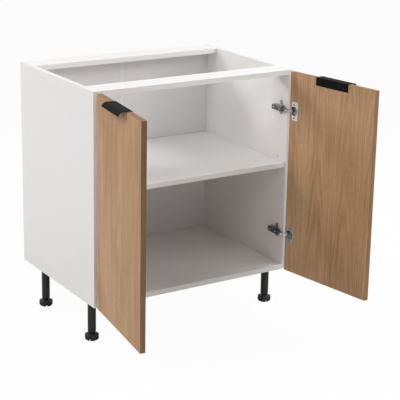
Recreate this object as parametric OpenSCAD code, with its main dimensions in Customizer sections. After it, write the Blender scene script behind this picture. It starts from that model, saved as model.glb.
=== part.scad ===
// Two-door kitchen base cabinet on adjustable legs, without its worktop.
// Both doors stand swung wide open, which is how the cabinet is shown and put together.
// X runs to the right, Y to the back and Z up. The origin is on the floor, in the middle of
// the space that the open cabinet takes. Heights in the source are counted from the floor.

/* [Carcass] */
// Width over both side panels
carcass_w = 800; // [700:10:1000]
// Height without the legs
carcass_h = 750; // [720:10:800]
// Depth without the doors
carcass_d = 560; // [540:10:600]
// Thickness of the boards
board_t = 18; // [17:0.5:19]
// Depth of the two top rails, front to back
rail_d = 90; // [80:1:120]
// Thickness of the edge bands
band_t = 1; // [0.5:0.1:2]

/* [Back] */
// Thickness of the back panels
back_t = 3; // [2.5:0.1:5]
// Distance from the rear edge to the front face of the back
back_inset = 25; // [18:1:32]
// Depth of the grooves that hold the back
groove_depth = 8; // [6:0.5:10]
// Width of the strip that joins the two back panels
strip_w = 14; // [10:1:24]
// Thickness of the walls of that strip
strip_t = 1; // [0.6:0.1:1.6]

/* [Board joints] */
// Diameter of a cam lock
cam_d = 15; // [12:0.5:18]
// Height of a cam lock
cam_h = 12.5; // [11:0.5:14]
// Distance from a board's end to the middle of its cam
cam_in = 34; // [24:1:40]
// Diameter of a cam bolt's head and of its bore
bolt_head_d = 7; // [6:0.1:8]
// Diameter of a cam bolt's shaft
bolt_d = 5; // [4:0.1:5.5]
// Depth of a cam bolt in the side panel
bolt_grip = 11; // [8:0.5:13]
// Diameter of a wood dowel
dowel_d = 8; // [6:0.5:9]
// Length of a wood dowel
dowel_l = 30; // [25:1:34]
// Depth of a wood dowel in the side panel
dowel_grip = 10; // [8:0.5:13]
// Distance from the front edge to the first cam of the bottom panel
bottom_cam_y = 37; // [30:1:45]
// Distance from the back to the rear cam of the bottom panel
bottom_cam_rear = 30; // [20:1:40]
// Distance from the front edge to the front dowel of the bottom panel
bottom_dowel_y = 130; // [120:1:200]
// Distance from the front edge to the rear dowel of the bottom panel
bottom_dowel_rear_y = 390; // [300:1:400]
// Distance from a rail's front edge to its cam
rail_cam_y = 20; // [14:1:26]
// Distance from a rail's front edge to its dowel
rail_dowel_y = 48; // [40:1:54]

/* [Shelf] */
// Height of the shelf pins above the underside of the carcass
pin_row_z = 387.5; // [300:0.5:460]
// Step from one shelf pin hole to the next
hole_step = 32; // [25:1:40]
// Diameter of a shelf pin
pin_d = 5; // [4:0.1:6]
// Length of a shelf pin inside the panel
pin_grip = 11; // [8:0.5:13]
// Length of a shelf pin under the shelf
pin_out = 8; // [6:0.5:12]
// Distance from the front edge to the front row of holes
hole_front_y = 52; // [50:1:80]
// Distance between the front row and the rear row of holes
hole_rows = 420; // [350:1:440]
// Distance that the shelf stands back from the front edges
shelf_setback = 5; // [2:1:30]
// Play between the shelf's ends and the side panels, on each side
shelf_play = 0.5; // [0.3:0.1:1.5]
// Space between the shelf and the back
shelf_back_gap = 2; // [1:0.5:6]

/* [Legs] */
// Height of the legs, feet fully screwed in
leg_h = 150; // [130:1:180]
// Distance from a leg's middle to the outside of the side panel
leg_side = 34; // [32:1:40]
// Distance from a front leg's middle to the front edge
leg_front = 83; // [80:1:100]
// Distance from a rear leg's middle to the rear edge
leg_rear = 112; // [100:1:130]
// Width of a leg's base plate
leg_plate_w = 52; // [48:1:58]
// Thickness of a leg's base plate
leg_plate_t = 7; // [4:0.5:9]
// Length of the screws through a leg's base plate
leg_screw_l = 16; // [14:1:18]
// Diameter of a leg tube
tube_d = 29.5; // [26:0.5:36]
// Gap between the foot's knob and the tube
neck_gap = 5.5; // [4:0.5:12]
// Diameter of the spigot that plugs into the tube
spigot_d = 21; // [18:0.5:22]
// Length of that spigot
spigot_l = 15; // [10:1:25]
// Diameter of the foot's knob
foot_d = 49; // [40:1:60]
// Height of the foot's knob
foot_h = 22.5; // [18:0.5:26]
// Bevel round the foot's sole, in and up
foot_bevel = 5; // [2:0.5:6]
// How far the knob's shoulder slopes in
shoulder_in = 8; // [4:0.5:10]
// Height of that slope
shoulder_h = 3; // [2:0.5:5]
// Number of notches round the sole
foot_notches = 6; // [4:1:10]
// Width of a notch
notch_w = 5; // [3:0.5:7]
// Height of a notch
notch_h = 11; // [6:0.5:13]
// Diameter of the foot's neck
neck_d = 14; // [12:0.5:18]
// Width of the sunk ring round the neck
neck_ring = 3; // [2:0.5:4]
// Diameter of the foot's screw stem
stem_d = 10; // [8:0.5:11]
// Length of the screw stem inside the tube
stem_l = 55; // [40:1:70]

/* [Doors] */
// Gap between a closed door's edge and the outside of the cabinet
door_reveal = 1.5; // [1:0.1:3]
// Gap between the two closed doors
door_gap = 3; // [2:0.1:5]
// Gap between a door's top edge and the top of the carcass
door_top_gap = 3; // [2.5:0.1:6]
// Gap between a door's bottom edge and the underside of the carcass
door_bottom_gap = 4; // [0:0.5:6]
// Gap between a closed door and the front edges
door_face_gap = 2; // [1.8:0.1:2.5]
// Angle that the doors open to
open_angle = 98.5; // [95:0.5:100]
// How far the open door's hinge edge stands in from the outside of the cabinet
open_in = 21.5; // [21:0.1:22]
// How far the open door's hinge edge stands in front of the cabinet
open_out = 18; // [17.5:0.1:18.5]

/* [Handles] */
// Length of an edge handle
handle_l = 150; // [100:5:300]
// Thickness of the handle's metal
handle_t = 1.5; // [1:0.1:1.6]
// Height of the handle's flange behind the door
handle_flange = 28; // [22:1:40]
// Flat part of the lip in front of the door
lip_flat = 10; // [4:1:20]
// Reach of the curved part of the lip
lip_run = 18; // [17:1:24]
// Drop of the curved part of the lip
lip_drop = 14.5; // [8:0.5:16]
// Distance from the handle's middle to each of its screws
handle_screw_x = 55; // [30:1:65]
// Distance from the door's top edge down to the handle's screws
handle_screw_z = 16; // [10:1:18]

/* [Hinges] */
// Distance from a door's end to the middle of its hinge
hinge_from_end = 140; // [100:1:200]
// Diameter of a hinge cup
cup_d = 35; // [34.8:0.1:36]
// Depth of a hinge cup
cup_depth = 11.5; // [11.4:0.1:13]
// Wood left between the cup and the door's edge
cup_edge = 4; // [3.8:0.1:4.2]
// Thickness of the cup's wall
cup_wall = 0.6; // [0.4:0.1:0.8]
// Thickness of the cup's flange
flange_t = 1.2; // [0.8:0.1:1.3]
// Reach of the cup's flange towards the door's edge, from the cup's middle
flange_near = 9; // [6:0.5:12]
// Height between the two screws of a cup
cup_screw_pitch = 48; // [45:1:52]
// Metal of the flange past each of those screws
flange_past = 10; // [7:0.5:14]
// Cup pin of the outer link, in from the door's edge
outer_pin_in = 8.6; // [8.5:0.1:8.8]
// Cup pin of the outer link, in from the door's inner face
outer_pin_deep = 1.9; // [1.8:0.1:2]
// Cup pin of the inner link, in from the door's edge
inner_pin_in = 6.9; // [6.8:0.1:7]
// Cup pin of the inner link, in from the door's inner face
inner_pin_deep = 3.5; // [3.4:0.1:3.6]
// Distance from the door's turning pole to the outer link's arm pin
outer_reach = 34.2; // [34:0.1:34.4]
// Distance from the door's turning pole to the inner link's arm pin
inner_reach = 29.4; // [29.2:0.1:29.6]
// Half of the outer link's width
outer_half = 1.5; // [1.3:0.1:1.6]
// Half of the inner link's width
inner_half = 1.1; // [1:0.1:1.2]
// Diameter of the arm pins
arm_pin_d = 2; // [1.6:0.1:2.2]
// Diameter of the outer link's cup pin
cup_pin_d = 2; // [1.6:0.1:2.2]
// Diameter of the inner link's cup pin
small_pin_d = 1.2; // [1:0.1:1.4]
// Half of the height that both links fill
link_half_h = 4.8; // [4.4:0.1:5]
// Height of the inner link
inner_link_h = 3.2; // [2.4:0.1:4]
// Thickness of the arm's and cup's ears
ear_t = 1; // [0.8:0.1:1.2]
// Rear end of the hinge arm, behind the front edges
arm_end = 66; // [60:1:72]
// Distance from the side panel to the far face of the arm
arm_out = 23; // [22.6:0.1:24]
// Half of the arm's height
arm_half_h = 9.2; // [8:0.1:10]
// Thickness of the arm's sheet
arm_t = 1; // [0.8:0.1:1.2]
// Middle of the mounting plate, behind the front edges
plate_y = 37; // [34:1:40]
// Width of the wings
plate_w = 14; // [12:1:18]
// Thickness of the wings
wing_t = 2.5; // [2:0.1:3.5]
// Thickness of the plate's base
base_t = 8; // [6:0.5:10]
// Height between the two screws of a plate
plate_screw_pitch = 32; // [30:1:34]
// Metal of the wings past each of those screws
wing_past = 10; // [8:0.5:14]

/* [Hidden] */
$fn = 48;

// Sides of the cabinet: -1 is the left, 1 is the right
LEFT = -1;
RIGHT = 1;

// Clearances
cut = 0.1;
fit = 0.05;
pin_play = 0.03;
groove_play = 0.1;
band_play = 0.1;
seat_play = 0.1;
link_play = 0.2;
foot_play = 0.3;

// Screws
screw_d = 3.5;
screw_head_d = 7;
screw_l = 13;

// Colours
board_white = [0.93, 0.93, 0.92];
back_white = [0.84, 0.84, 0.83];
light_oak = [0.78, 0.60, 0.44];
plastic_black = [0.13, 0.13, 0.13];
handle_black = [0.10, 0.10, 0.11];
steel = [0.72, 0.73, 0.74];
dark_steel = [0.42, 0.43, 0.44];
beech = [0.80, 0.65, 0.45];

// Carcass
top_z = leg_h + carcass_h;
back_y = carcass_d - back_inset;
inner_w = carcass_w - 2 * board_t;
bottom_top = leg_h + board_t;
rail_bottom = top_z - board_t;
bottom_mid = leg_h + board_t / 2;
rail_mid = top_z - board_t / 2;

// Doors
door_w = (carcass_w - 2 * door_reveal - door_gap) / 2;
door_z = leg_h + door_bottom_gap;
door_top = top_z - door_top_gap;
upper_z = door_top - hinge_from_end;
lower_z = door_z + hinge_from_end;
hinge_z = [upper_z, lower_z];

// The cabinet's front edges, so that the open cabinet has its middle at the origin
door_reach = open_out + door_w * sin(open_angle);
front_y = (door_reach - carcass_d) / 2;

// Shelf and its pins
pin_z = leg_h + pin_row_z;
shelf_z = pin_z + pin_d / 2 + seat_play;
shelf_rear_y = back_y - strip_t - shelf_back_gap;
hole_columns = [hole_front_y, hole_front_y + hole_rows];

// Board joints, each as distance from the front edges and height
cam_spots = [[bottom_cam_y, bottom_mid], [back_y - bottom_cam_rear, bottom_mid],
    [rail_cam_y, rail_mid], [carcass_d - rail_d + rail_cam_y, rail_mid]];
dowel_spots = [[bottom_dowel_y, bottom_mid], [bottom_dowel_rear_y, bottom_mid],
    [rail_dowel_y, rail_mid], [carcass_d - rail_d + rail_dowel_y, rail_mid]];

// Leg screws, as distances from a leg's middle
leg_screw_x = [8, -18];
leg_screw_y = 18;
leg_rows = [leg_front, carcass_d - leg_rear];

// Legs and feet
leg_plate_round = 1.28 * leg_plate_w;
tube_z = foot_h + neck_gap;
hub_wall = 2;
sole_wall = 2.5;
neck_ring_depth = 5;
// How far each foot stands turned, as it was last set
front_foot_turns = [17, 18];
rear_foot_turns = [49, 35];

// Door hinge linkage, seen from above with the hinge edge's outside corner of the cabinet at 0,0.
// The closed and the open door differ by one turn about the pole. Each link's arm pin lies on the
// ray that halves its cup pin's turn, so that the link has one length at both ends of the swing.
closed_corner = [-door_reveal, -door_face_gap];
open_corner = [-open_in, -open_out];
swing = open_corner - closed_corner;
pole = (closed_corner + open_corner) / 2
    + [-swing[1], swing[0]] / (2 * tan(open_angle / 2));
function heading(v) = atan2(v[1], v[0]);
function toward(a) = [cos(a), sin(a)];
function turned(v, a) = [v[0] * cos(a) - v[1] * sin(a), v[0] * sin(a) + v[1] * cos(a)];
function when_closed(p) = closed_corner - p;
function when_open(p) = open_corner + turned(-p, open_angle);
function arm_pin(p, reach) = pole + reach * toward(heading(when_closed(p) - pole) + open_angle / 2);
outer_cup_pin = [outer_pin_in, outer_pin_deep];
inner_cup_pin = [inner_pin_in, inner_pin_deep];
outer_arm_pin = arm_pin(outer_cup_pin, outer_reach);
inner_arm_pin = arm_pin(inner_cup_pin, inner_reach);
outer_turn = heading(when_open(outer_cup_pin) - outer_arm_pin)
    - heading(when_closed(outer_cup_pin) - outer_arm_pin);
inner_turn = heading(when_open(inner_cup_pin) - inner_arm_pin)
    - heading(when_closed(inner_cup_pin) - inner_arm_pin);
// Bends of the links, each as a share of the link's length and a distance to the side
outer_bends = [[0.184, 1], [0.936, 5.45]];
inner_bends = [[0.172, 4.4], [0.975, 5.05]];

// Heights of the two links and the ears beside them
ear_z = link_half_h + link_play;
inner_link_z = link_half_h - inner_link_h;
outer_link_top = inner_link_z - link_play;
eye_r = arm_pin_d / 2 + 0.8;
small_eye_r = inner_half + 0.1;

// Cup and arm
cup_x = cup_edge + cup_d / 2;
cup_floor = 0.8;
flange_corner = 3;
flange_h = cup_screw_pitch + 2 * flange_past;
plate_h = plate_screw_pitch + 2 * wing_past;
arm_x = board_t + arm_out;
base_x = board_t + base_t;
rib_x = arm_x - arm_t - 4;
arm_screw_y = [20, 56];
arm_screw_d = 4;
arm_screw_head_d = 7;
arm_screw_head_t = 1.6;

// Places its children beside the outside of one side of the cabinet, from the front edges back
module on_side(side) {
    if (side > 0) translate([carcass_w / 2, front_y, 0]) children();
    else mirror([1, 0, 0]) translate([carcass_w / 2, front_y, 0]) children();
}

// Places its children on an open door: its hinge edge at x = 0 and its inner face at y = 0
module on_door(side) {
    on_side(side) translate([open_corner[0], open_corner[1], 0]) rotate(open_angle) children();
}

// A box between two corners
module box(low, high) {
    translate(low) cube(high - low);
}

// A round hole or pin along X, from the given place towards the outside of the cabinet
module along_x(y, z, x_from, x_to, d) {
    translate([x_from, y, z]) rotate([0, 90, 0]) cylinder(d = d, h = x_to - x_from);
}

// A side panel, with its groove and all its holes
module side_panel(side) {
    inner = -board_t - cut;
    color(board_white) on_side(side) difference() {
        box([-board_t, band_t, leg_h], [0, carcass_d, top_z]);
        box([inner, back_y - groove_play, leg_h - cut],
            [groove_depth - board_t, back_y + back_t + groove_play, top_z + cut]);
        for (y = hole_columns, step = [-1, 0, 1])
            along_x(y, pin_z + step * hole_step, inner, pin_grip + 1 - board_t, pin_d + 2 * fit);
        for (z = hinge_z, up = [-1, 1])
            along_x(plate_y, z + up * plate_screw_pitch / 2, inner,
                screw_l - wing_t + 1 - board_t, screw_d + 2 * fit);
        for (s = cam_spots)
            along_x(s[0], s[1], inner, bolt_grip + fit - board_t, bolt_d + 2 * fit);
        for (s = dowel_spots)
            along_x(s[0], s[1], inner, dowel_grip + fit - board_t, dowel_d + 2 * fit);
    }
}

// Cam and dowel bores in both ends of a lying board, for the spots at one height
module end_bores(z_mid) {
    for (side = [LEFT, RIGHT]) on_side(side) {
        for (s = cam_spots) if (s[1] == z_mid) {
            along_x(s[0], z_mid, -board_t - cam_in, cut - board_t, bolt_head_d + 2 * fit);
            translate([-board_t - cam_in, s[0], z_mid - board_t / 2 - cut])
                cylinder(d = cam_d + 2 * fit, h = cam_h + cut + fit);
        }
        for (s = dowel_spots) if (s[1] == z_mid)
            along_x(s[0], z_mid, dowel_grip - dowel_l - 1 - board_t, cut - board_t,
                dowel_d + 2 * fit);
    }
}

module bottom_panel() {
    color(board_white) difference() {
        translate([0, front_y, 0])
            box([-inner_w / 2, band_t, leg_h], [inner_w / 2, carcass_d, bottom_top]);
        translate([0, front_y, 0])
            box([-inner_w / 2 - cut, back_y - groove_play, bottom_top - groove_depth],
                [inner_w / 2 + cut, back_y + back_t + groove_play, bottom_top + cut]);
        end_bores(bottom_mid);
        for (side = [LEFT, RIGHT], y = leg_rows) on_side(side)
            leg_screw_places(y) translate([0, 0, leg_h - cut])
                cylinder(d = screw_d + 2 * fit, h = leg_screw_l - leg_plate_t + 1 + cut);
    }
}

module front_rail() {
    color(board_white) difference() {
        translate([0, front_y, 0])
            box([-inner_w / 2, band_t, rail_bottom], [inner_w / 2, rail_d, top_z]);
        end_bores(rail_mid);
    }
}

module rear_rail() {
    color(board_white) difference() {
        translate([0, front_y, 0])
            box([-inner_w / 2, carcass_d - rail_d, rail_bottom], [inner_w / 2, carcass_d, top_z]);
        translate([0, front_y, 0])
            box([-inner_w / 2 - cut, back_y - groove_play, rail_bottom - cut],
                [inner_w / 2 + cut, back_y + back_t + groove_play, rail_bottom + groove_depth]);
        end_bores(rail_mid);
    }
}

// Half of the back, from the joint strip to the bottom of the side panel's groove
module back_panel(side) {
    color(back_white) on_side(side)
        box([strip_t / 2 + fit - carcass_w / 2, back_y, bottom_top - groove_depth + 2 * fit],
            [groove_depth - board_t - 1, back_y + back_t, rail_bottom + groove_depth - 2 * fit]);
}

// The strip with an H section that holds the two back panels together
module back_joint_strip() {
    low = bottom_top + fit;
    high = rail_bottom - fit;
    color(board_white) translate([0, front_y, 0]) {
        box([-strip_t / 2, back_y - strip_t - fit, low],
            [strip_t / 2, back_y + back_t + strip_t + fit, high]);
        box([-strip_w / 2, back_y - strip_t - fit, low], [strip_w / 2, back_y - fit, high]);
        box([-strip_w / 2, back_y + back_t + fit, low],
            [strip_w / 2, back_y + back_t + fit + strip_t, high]);
    }
}

// Metal bolts in the side panels, their heads held by the cams
module cam_bolts() {
    head_l = 4;
    color(steel) for (side = [LEFT, RIGHT], s = cam_spots) on_side(side) {
        along_x(s[0], s[1], -board_t - cam_in, bolt_grip - board_t, bolt_d);
        along_x(s[0], s[1], -board_t - cam_in, head_l - board_t - cam_in, bolt_head_d - fit);
    }
}

// Round cams in the undersides of the lying boards, each open towards its bolt
module cam_locks() {
    slot = bolt_head_d / 2 + fit;
    color(steel) for (side = [LEFT, RIGHT], s = cam_spots) on_side(side) difference() {
        translate([-board_t - cam_in, s[0], s[1] - board_t / 2]) cylinder(d = cam_d, h = cam_h);
        box([-board_t - cam_in - fit, s[0] - slot, s[1] - slot],
            [cam_d - board_t - cam_in, s[0] + slot, s[1] + board_t]);
    }
}

module wood_dowels() {
    color(beech) for (side = [LEFT, RIGHT], s = dowel_spots) on_side(side)
        along_x(s[0], s[1], dowel_grip - dowel_l - board_t, dowel_grip - board_t, dowel_d);
}

// The bands on the front edges of the carcass boards
module front_edge_bands() {
    half = inner_w / 2 - band_play;
    color(board_white) {
        for (side = [LEFT, RIGHT]) on_side(side)
            box([-board_t, 0, leg_h], [0, band_t, top_z]);
        for (z = [leg_h, rail_bottom]) translate([0, front_y, z])
            box([-half, 0, 0], [half, band_t, board_t]);
    }
}

module shelf() {
    half = inner_w / 2 - shelf_play;
    color(board_white) translate([0, front_y, 0])
        box([-half, shelf_setback, shelf_z], [half, shelf_rear_y, shelf_z + board_t]);
}

module shelf_pins() {
    tip = 0.8;
    color(steel) for (side = [LEFT, RIGHT], y = hole_columns) on_side(side) {
        along_x(y, pin_z, tip - board_t - pin_out, pin_grip - board_t, pin_d);
        translate([tip - board_t - pin_out, y, pin_z]) rotate([0, -90, 0])
            cylinder(d1 = pin_d, d2 = pin_d - 2 * tip, h = tip);
    }
}

// Puts its children at the four screws of one leg
module leg_screw_places(y) {
    for (x = leg_screw_x, up = [-1, 1])
        translate([x - leg_side, y + up * leg_screw_y, 0]) children();
}

// A wood screw that points up, with the flat of its countersunk head at z = 0
module wood_screw(length) {
    head_l = (screw_head_d - screw_d) / 2;
    cylinder(d1 = screw_head_d, d2 = screw_d, h = head_l);
    cylinder(d = screw_d, h = length);
}

// The countersunk hole for such a screw, down to the given depth
module screw_hole(depth) {
    head_l = (screw_head_d - screw_d) / 2;
    hole_d = screw_d + 2 * fit;
    translate([0, 0, -cut]) {
        cylinder(d1 = hole_d + 2 * (head_l + cut), d2 = hole_d, h = head_l + cut);
        cylinder(d = hole_d, h = depth + cut);
    }
}

// The plate under the cabinet that a leg plugs onto
module leg_base(side, y) {
    plate_z = leg_h - leg_plate_t;
    color(plastic_black) on_side(side) difference() {
        translate([-leg_side, y, 0]) union() {
            translate([0, 0, plate_z]) linear_extrude(leg_plate_t) intersection() {
                square(leg_plate_w, center = true);
                circle(d = leg_plate_round);
            }
            translate([0, 0, plate_z - spigot_l]) cylinder(d = spigot_d, h = spigot_l + leg_plate_t / 2);
        }
        leg_screw_places(y) translate([0, 0, plate_z]) screw_hole(leg_screw_l);
    }
}

// The tube of a leg: a socket for the spigot above and the foot's thread below
module leg_tube(side, y) {
    bevel = 2;
    bore_r = stem_d / 2 + fit;
    socket_r = spigot_d / 2 + fit;
    tube_top = leg_h - leg_plate_t;
    socket_z = tube_top - spigot_l - fit;
    color(plastic_black) on_side(side) translate([-leg_side, y, 0]) rotate_extrude()
        polygon([[bore_r, tube_z], [tube_d / 2 - bevel, tube_z], [tube_d / 2, tube_z + 2 * bevel],
            [tube_d / 2, tube_top], [socket_r, tube_top], [socket_r, socket_z], [bore_r, socket_z]]);
}

// The foot: a knob with a hollow, notched sole, its neck and the stem that screws into the tube
module foot(side, y, turn) {
    knob_r = foot_d / 2;
    hub_r = neck_d / 2 + hub_wall;
    hollow_r = knob_r - foot_bevel - sole_wall;
    hollow_h = notch_h + 1;
    ring_r = neck_d / 2 + neck_ring;
    ring_z = foot_h - neck_ring_depth;
    neck_top = tube_z - foot_play;
    stem_top = neck_top + stem_l;
    color(plastic_black) on_side(side) translate([-leg_side, y, 0]) difference() {
        rotate_extrude() polygon([[0, 0], [hub_r, 0], [hub_r, hollow_h], [hollow_r, hollow_h],
            [hollow_r, 0], [knob_r - foot_bevel, 0], [knob_r, foot_bevel],
            [knob_r, foot_h - shoulder_h], [knob_r - shoulder_in, foot_h], [ring_r, foot_h],
            [ring_r, ring_z], [neck_d / 2, ring_z], [neck_d / 2, neck_top], [stem_d / 2, neck_top],
            [stem_d / 2, stem_top - 1], [stem_d / 2 - 1, stem_top], [0, stem_top]]);
        for (i = [0 : foot_notches - 1]) rotate(turn + i * 360 / foot_notches)
            box([(hub_r + hollow_r) / 2, -notch_w / 2, -cut], [knob_r + cut, notch_w / 2, notch_h]);
    }
}

module leg_screws() {
    color(steel) for (side = [LEFT, RIGHT], y = leg_rows) on_side(side)
        leg_screw_places(y) translate([0, 0, leg_h - leg_plate_t]) wood_screw(leg_screw_l);
}

// Puts its children at the screws of a door, pointing from its inner face into the wood
module cup_screw_places() {
    for (z = hinge_z, up = [-1, 1])
        translate([-cup_x, flange_t, z + up * cup_screw_pitch / 2]) rotate([90, 0, 0]) children();
}

module handle_screw_places() {
    for (x = [-1, 1])
        translate([x * handle_screw_x - door_w / 2, handle_t, door_top - handle_screw_z])
            rotate([90, 0, 0]) children();
}

// A door's board, with its cup bores and screw holes
module door(side) {
    color(light_oak) on_door(side) difference() {
        box([band_t - door_w, -board_t, door_z + band_t], [-band_t, 0, door_top - band_t]);
        for (z = hinge_z) translate([-cup_x, cut, z]) rotate([90, 0, 0])
            cylinder(d = cup_d + 2 * fit, h = cup_depth + cut + fit);
        cup_screw_places() screw_hole(screw_l + 1);
        handle_screw_places() screw_hole(screw_l + 1);
    }
}

// The four bands round a door's edges
module door_edge_bands(side) {
    gap = band_play / 2;
    color(light_oak) on_door(side) {
        for (x = [-door_w, -band_t])
            box([x, -board_t, door_z], [x + band_t, 0, door_top]);
        for (z = [door_z, door_top - band_t])
            box([band_t - door_w + gap, -board_t, z], [-band_t - gap, 0, z + band_t]);
    }
}

// The section of an edge handle, from the foot of its flange over the door to the lip's end
module handle_section() {
    bend_r = (lip_run * lip_run + lip_drop * lip_drop) / (2 * lip_drop);
    bend_angle = asin(lip_run / bend_r);
    bend_x = -board_t - lip_flat;
    bend_y = handle_t - bend_r;
    steps = 10;
    polygon(concat(
        [[0, -handle_flange], [handle_t, -handle_flange], [handle_t, handle_t]],
        [for (i = [0 : steps]) let (a = i * bend_angle / steps)
            [bend_x - bend_r * sin(a), bend_y + bend_r * cos(a)]],
        [for (i = [steps : -1 : 0]) let (a = i * bend_angle / steps, r = bend_r - handle_t)
            [bend_x - r * sin(a), bend_y + r * cos(a)]],
        [[0, 0]]));
}

module handle(side) {
    color(handle_black) on_door(side) difference() {
        translate([-(door_w + handle_l) / 2, 0, door_top])
            rotate([90, 0, 90]) linear_extrude(handle_l) handle_section();
        handle_screw_places() screw_hole(screw_l);
    }
}

module door_screws(side) {
    color(steel) on_door(side) {
        cup_screw_places() wood_screw(screw_l);
        handle_screw_places() wood_screw(screw_l);
    }
}

// A flat strip along some points, with mitred bends and square ends
function unit_across(a, b) = [a[1] - b[1], b[0] - a[0]] / norm(b - a);
function mitre(p, i, last) = i == 0 ? unit_across(p[0], p[1])
    : i == last ? unit_across(p[last - 1], p[last])
    : let (u = unit_across(p[i - 1], p[i]), v = unit_across(p[i], p[i + 1])) (u + v) / (1 + u * v);
module strip(points, half) {
    last = len(points) - 1;
    polygon(concat([for (i = [0 : last]) points[i] + half * mitre(points, i, last)],
        [for (i = [last : -1 : 0]) points[i] - half * mitre(points, i, last)]));
}

// A bent link seen from above with the door closed, from its arm pin to its cup pin
module link_shape(arm_pin, cup_pin, bends, half, arm_eye, cup_eye) {
    reach = when_closed(cup_pin) - arm_pin;
    across = [reach[1], -reach[0]] / norm(reach);
    joints = concat([arm_pin], [for (b = bends) arm_pin + b[0] * reach + b[1] * across],
        [when_closed(cup_pin)]);
    strip(joints, half);
    translate(joints[0]) circle(r = arm_eye);
    translate(joints[len(joints) - 1]) circle(r = cup_eye);
}

// Turns a link from its closed place to its open place, about its arm pin
module link_opened(arm_pin, turn) {
    translate([arm_pin[0], arm_pin[1], 0]) rotate(turn)
        translate([-arm_pin[0], -arm_pin[1], 0]) children();
}

module outer_link(side, z) {
    color(steel) on_side(side) translate([0, 0, z]) link_opened(outer_arm_pin, outer_turn)
        difference() {
            translate([0, 0, -link_half_h]) linear_extrude(link_half_h + outer_link_top)
                link_shape(outer_arm_pin, outer_cup_pin, outer_bends, outer_half, eye_r, eye_r);
            translate([outer_arm_pin[0], outer_arm_pin[1], -2 * link_half_h])
                cylinder(d = arm_pin_d + 2 * pin_play, h = 4 * link_half_h);
            translate([when_closed(outer_cup_pin)[0], when_closed(outer_cup_pin)[1], -2 * link_half_h])
                cylinder(d = cup_pin_d + 2 * pin_play, h = 4 * link_half_h);
        }
}

// The inner link ends beside its cup pin and not on it, so that the swing stays free
module inner_link(side, z) {
    color(steel) on_side(side) translate([0, 0, z]) link_opened(inner_arm_pin, inner_turn)
        difference() {
            translate([0, 0, inner_link_z]) linear_extrude(inner_link_h)
                link_shape(inner_arm_pin, inner_cup_pin, inner_bends, inner_half, eye_r, small_eye_r);
            translate([inner_arm_pin[0], inner_arm_pin[1], -2 * link_half_h])
                cylinder(d = arm_pin_d + 2 * pin_play, h = 4 * link_half_h);
        }
}

// Arm pins of one hinge: each runs from one ear through its own link
module arm_pins_at() {
    translate([outer_arm_pin[0], outer_arm_pin[1], -ear_z - ear_t])
        cylinder(d = arm_pin_d, h = ear_z + ear_t + outer_link_top);
    translate([inner_arm_pin[0], inner_arm_pin[1], inner_link_z])
        cylinder(d = arm_pin_d, h = ear_z + ear_t - inner_link_z);
}

module hinge_arm_pins() {
    color(steel) for (side = [LEFT, RIGHT], z = hinge_z) on_side(side)
        translate([0, 0, z]) arm_pins_at();
}

// The two ears that carry the links, in front of the arm's body
module arm_ear() {
    root_y = 14;
    neck_y = 3;
    half = eye_r - 0.2;
    linear_extrude(ear_t) difference() {
        union() {
            for (p = [outer_arm_pin, inner_arm_pin]) translate(p) circle(r = eye_r);
            strip([outer_arm_pin, inner_arm_pin], half);
            polygon([outer_arm_pin - [half, 0], [outer_arm_pin[0] - half, neck_y],
                [-arm_x, 2 * neck_y], [-arm_x, root_y], [-base_x - 1, root_y], [-base_x - 1, neck_y],
                inner_arm_pin + [half, 0]]);
        }
        translate(outer_arm_pin) circle(d = arm_pin_d + 2 * fit);
        translate(inner_arm_pin) circle(d = arm_pin_d + 2 * fit);
    }
}

// The hinge arm: a bent sheet over the mounting plate, with two ears in front
module hinge_arm(side, z) {
    body_y = 10;
    color(dark_steel) on_side(side) translate([0, 0, z]) {
        for (low = [ear_z, -ear_z - ear_t]) translate([0, 0, low]) arm_ear();
        difference() {
            box([-arm_x, body_y, -arm_half_h], [-base_x, arm_end, arm_half_h]);
            box([arm_t - arm_x, body_y - cut, arm_t - arm_half_h],
                [cut - base_x, arm_end + cut, arm_half_h - arm_t]);
            for (y = arm_screw_y) along_x(y, 0, -arm_x - cut, cut - base_x, arm_screw_d + 2 * fit);
        }
        box([-arm_x, body_y, ear_z], [arm_t - arm_x, body_y + arm_t, arm_half_h]);
        box([-arm_x, body_y, -arm_half_h], [arm_t - arm_x, body_y + arm_t, -ear_z]);
    }
}

// The plate on the side panel: two wings with a screw each, and a base with a rib for the arm
module hinge_plate(side, z) {
    tip_z = plate_h / 2 - plate_w / 2;
    rib_front = 16;
    rib_half = 3.5;
    color(steel) on_side(side) translate([0, 0, z]) difference() {
        union() {
            box([-board_t - wing_t, plate_y - plate_w / 2, -tip_z],
                [-board_t, plate_y + plate_w / 2, tip_z]);
            for (up = [-1, 1])
                along_x(plate_y, up * tip_z, -board_t - wing_t, -board_t, plate_w);
            box([-base_x, rib_front, -arm_half_h], [-board_t, arm_end - 2, arm_half_h]);
            box([-rib_x, rib_front, -rib_half], [-board_t, arm_end - 2, rib_half]);
        }
        for (up = [-1, 1])
            translate([-board_t - wing_t, plate_y, up * plate_screw_pitch / 2])
                rotate([0, 90, 0]) screw_hole(screw_l);
        for (y = arm_screw_y) along_x(y, 0, -rib_x - cut, -board_t - 2, arm_screw_d + 2 * fit);
    }
}

// Two wood screws in each plate, and the fixing screw and adjusting screw of each arm
module hinge_plate_screws() {
    color(steel) for (side = [LEFT, RIGHT], z = hinge_z) on_side(side) translate([0, 0, z]) {
        for (up = [-1, 1]) translate([-board_t - wing_t, plate_y, up * plate_screw_pitch / 2])
            rotate([0, 90, 0]) wood_screw(screw_l);
        for (y = arm_screw_y) {
            along_x(y, 0, -arm_x - arm_screw_head_t, -arm_x, arm_screw_head_d);
            along_x(y, 0, -arm_x - fit, 3 - base_x, arm_screw_d);
        }
    }
}

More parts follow.
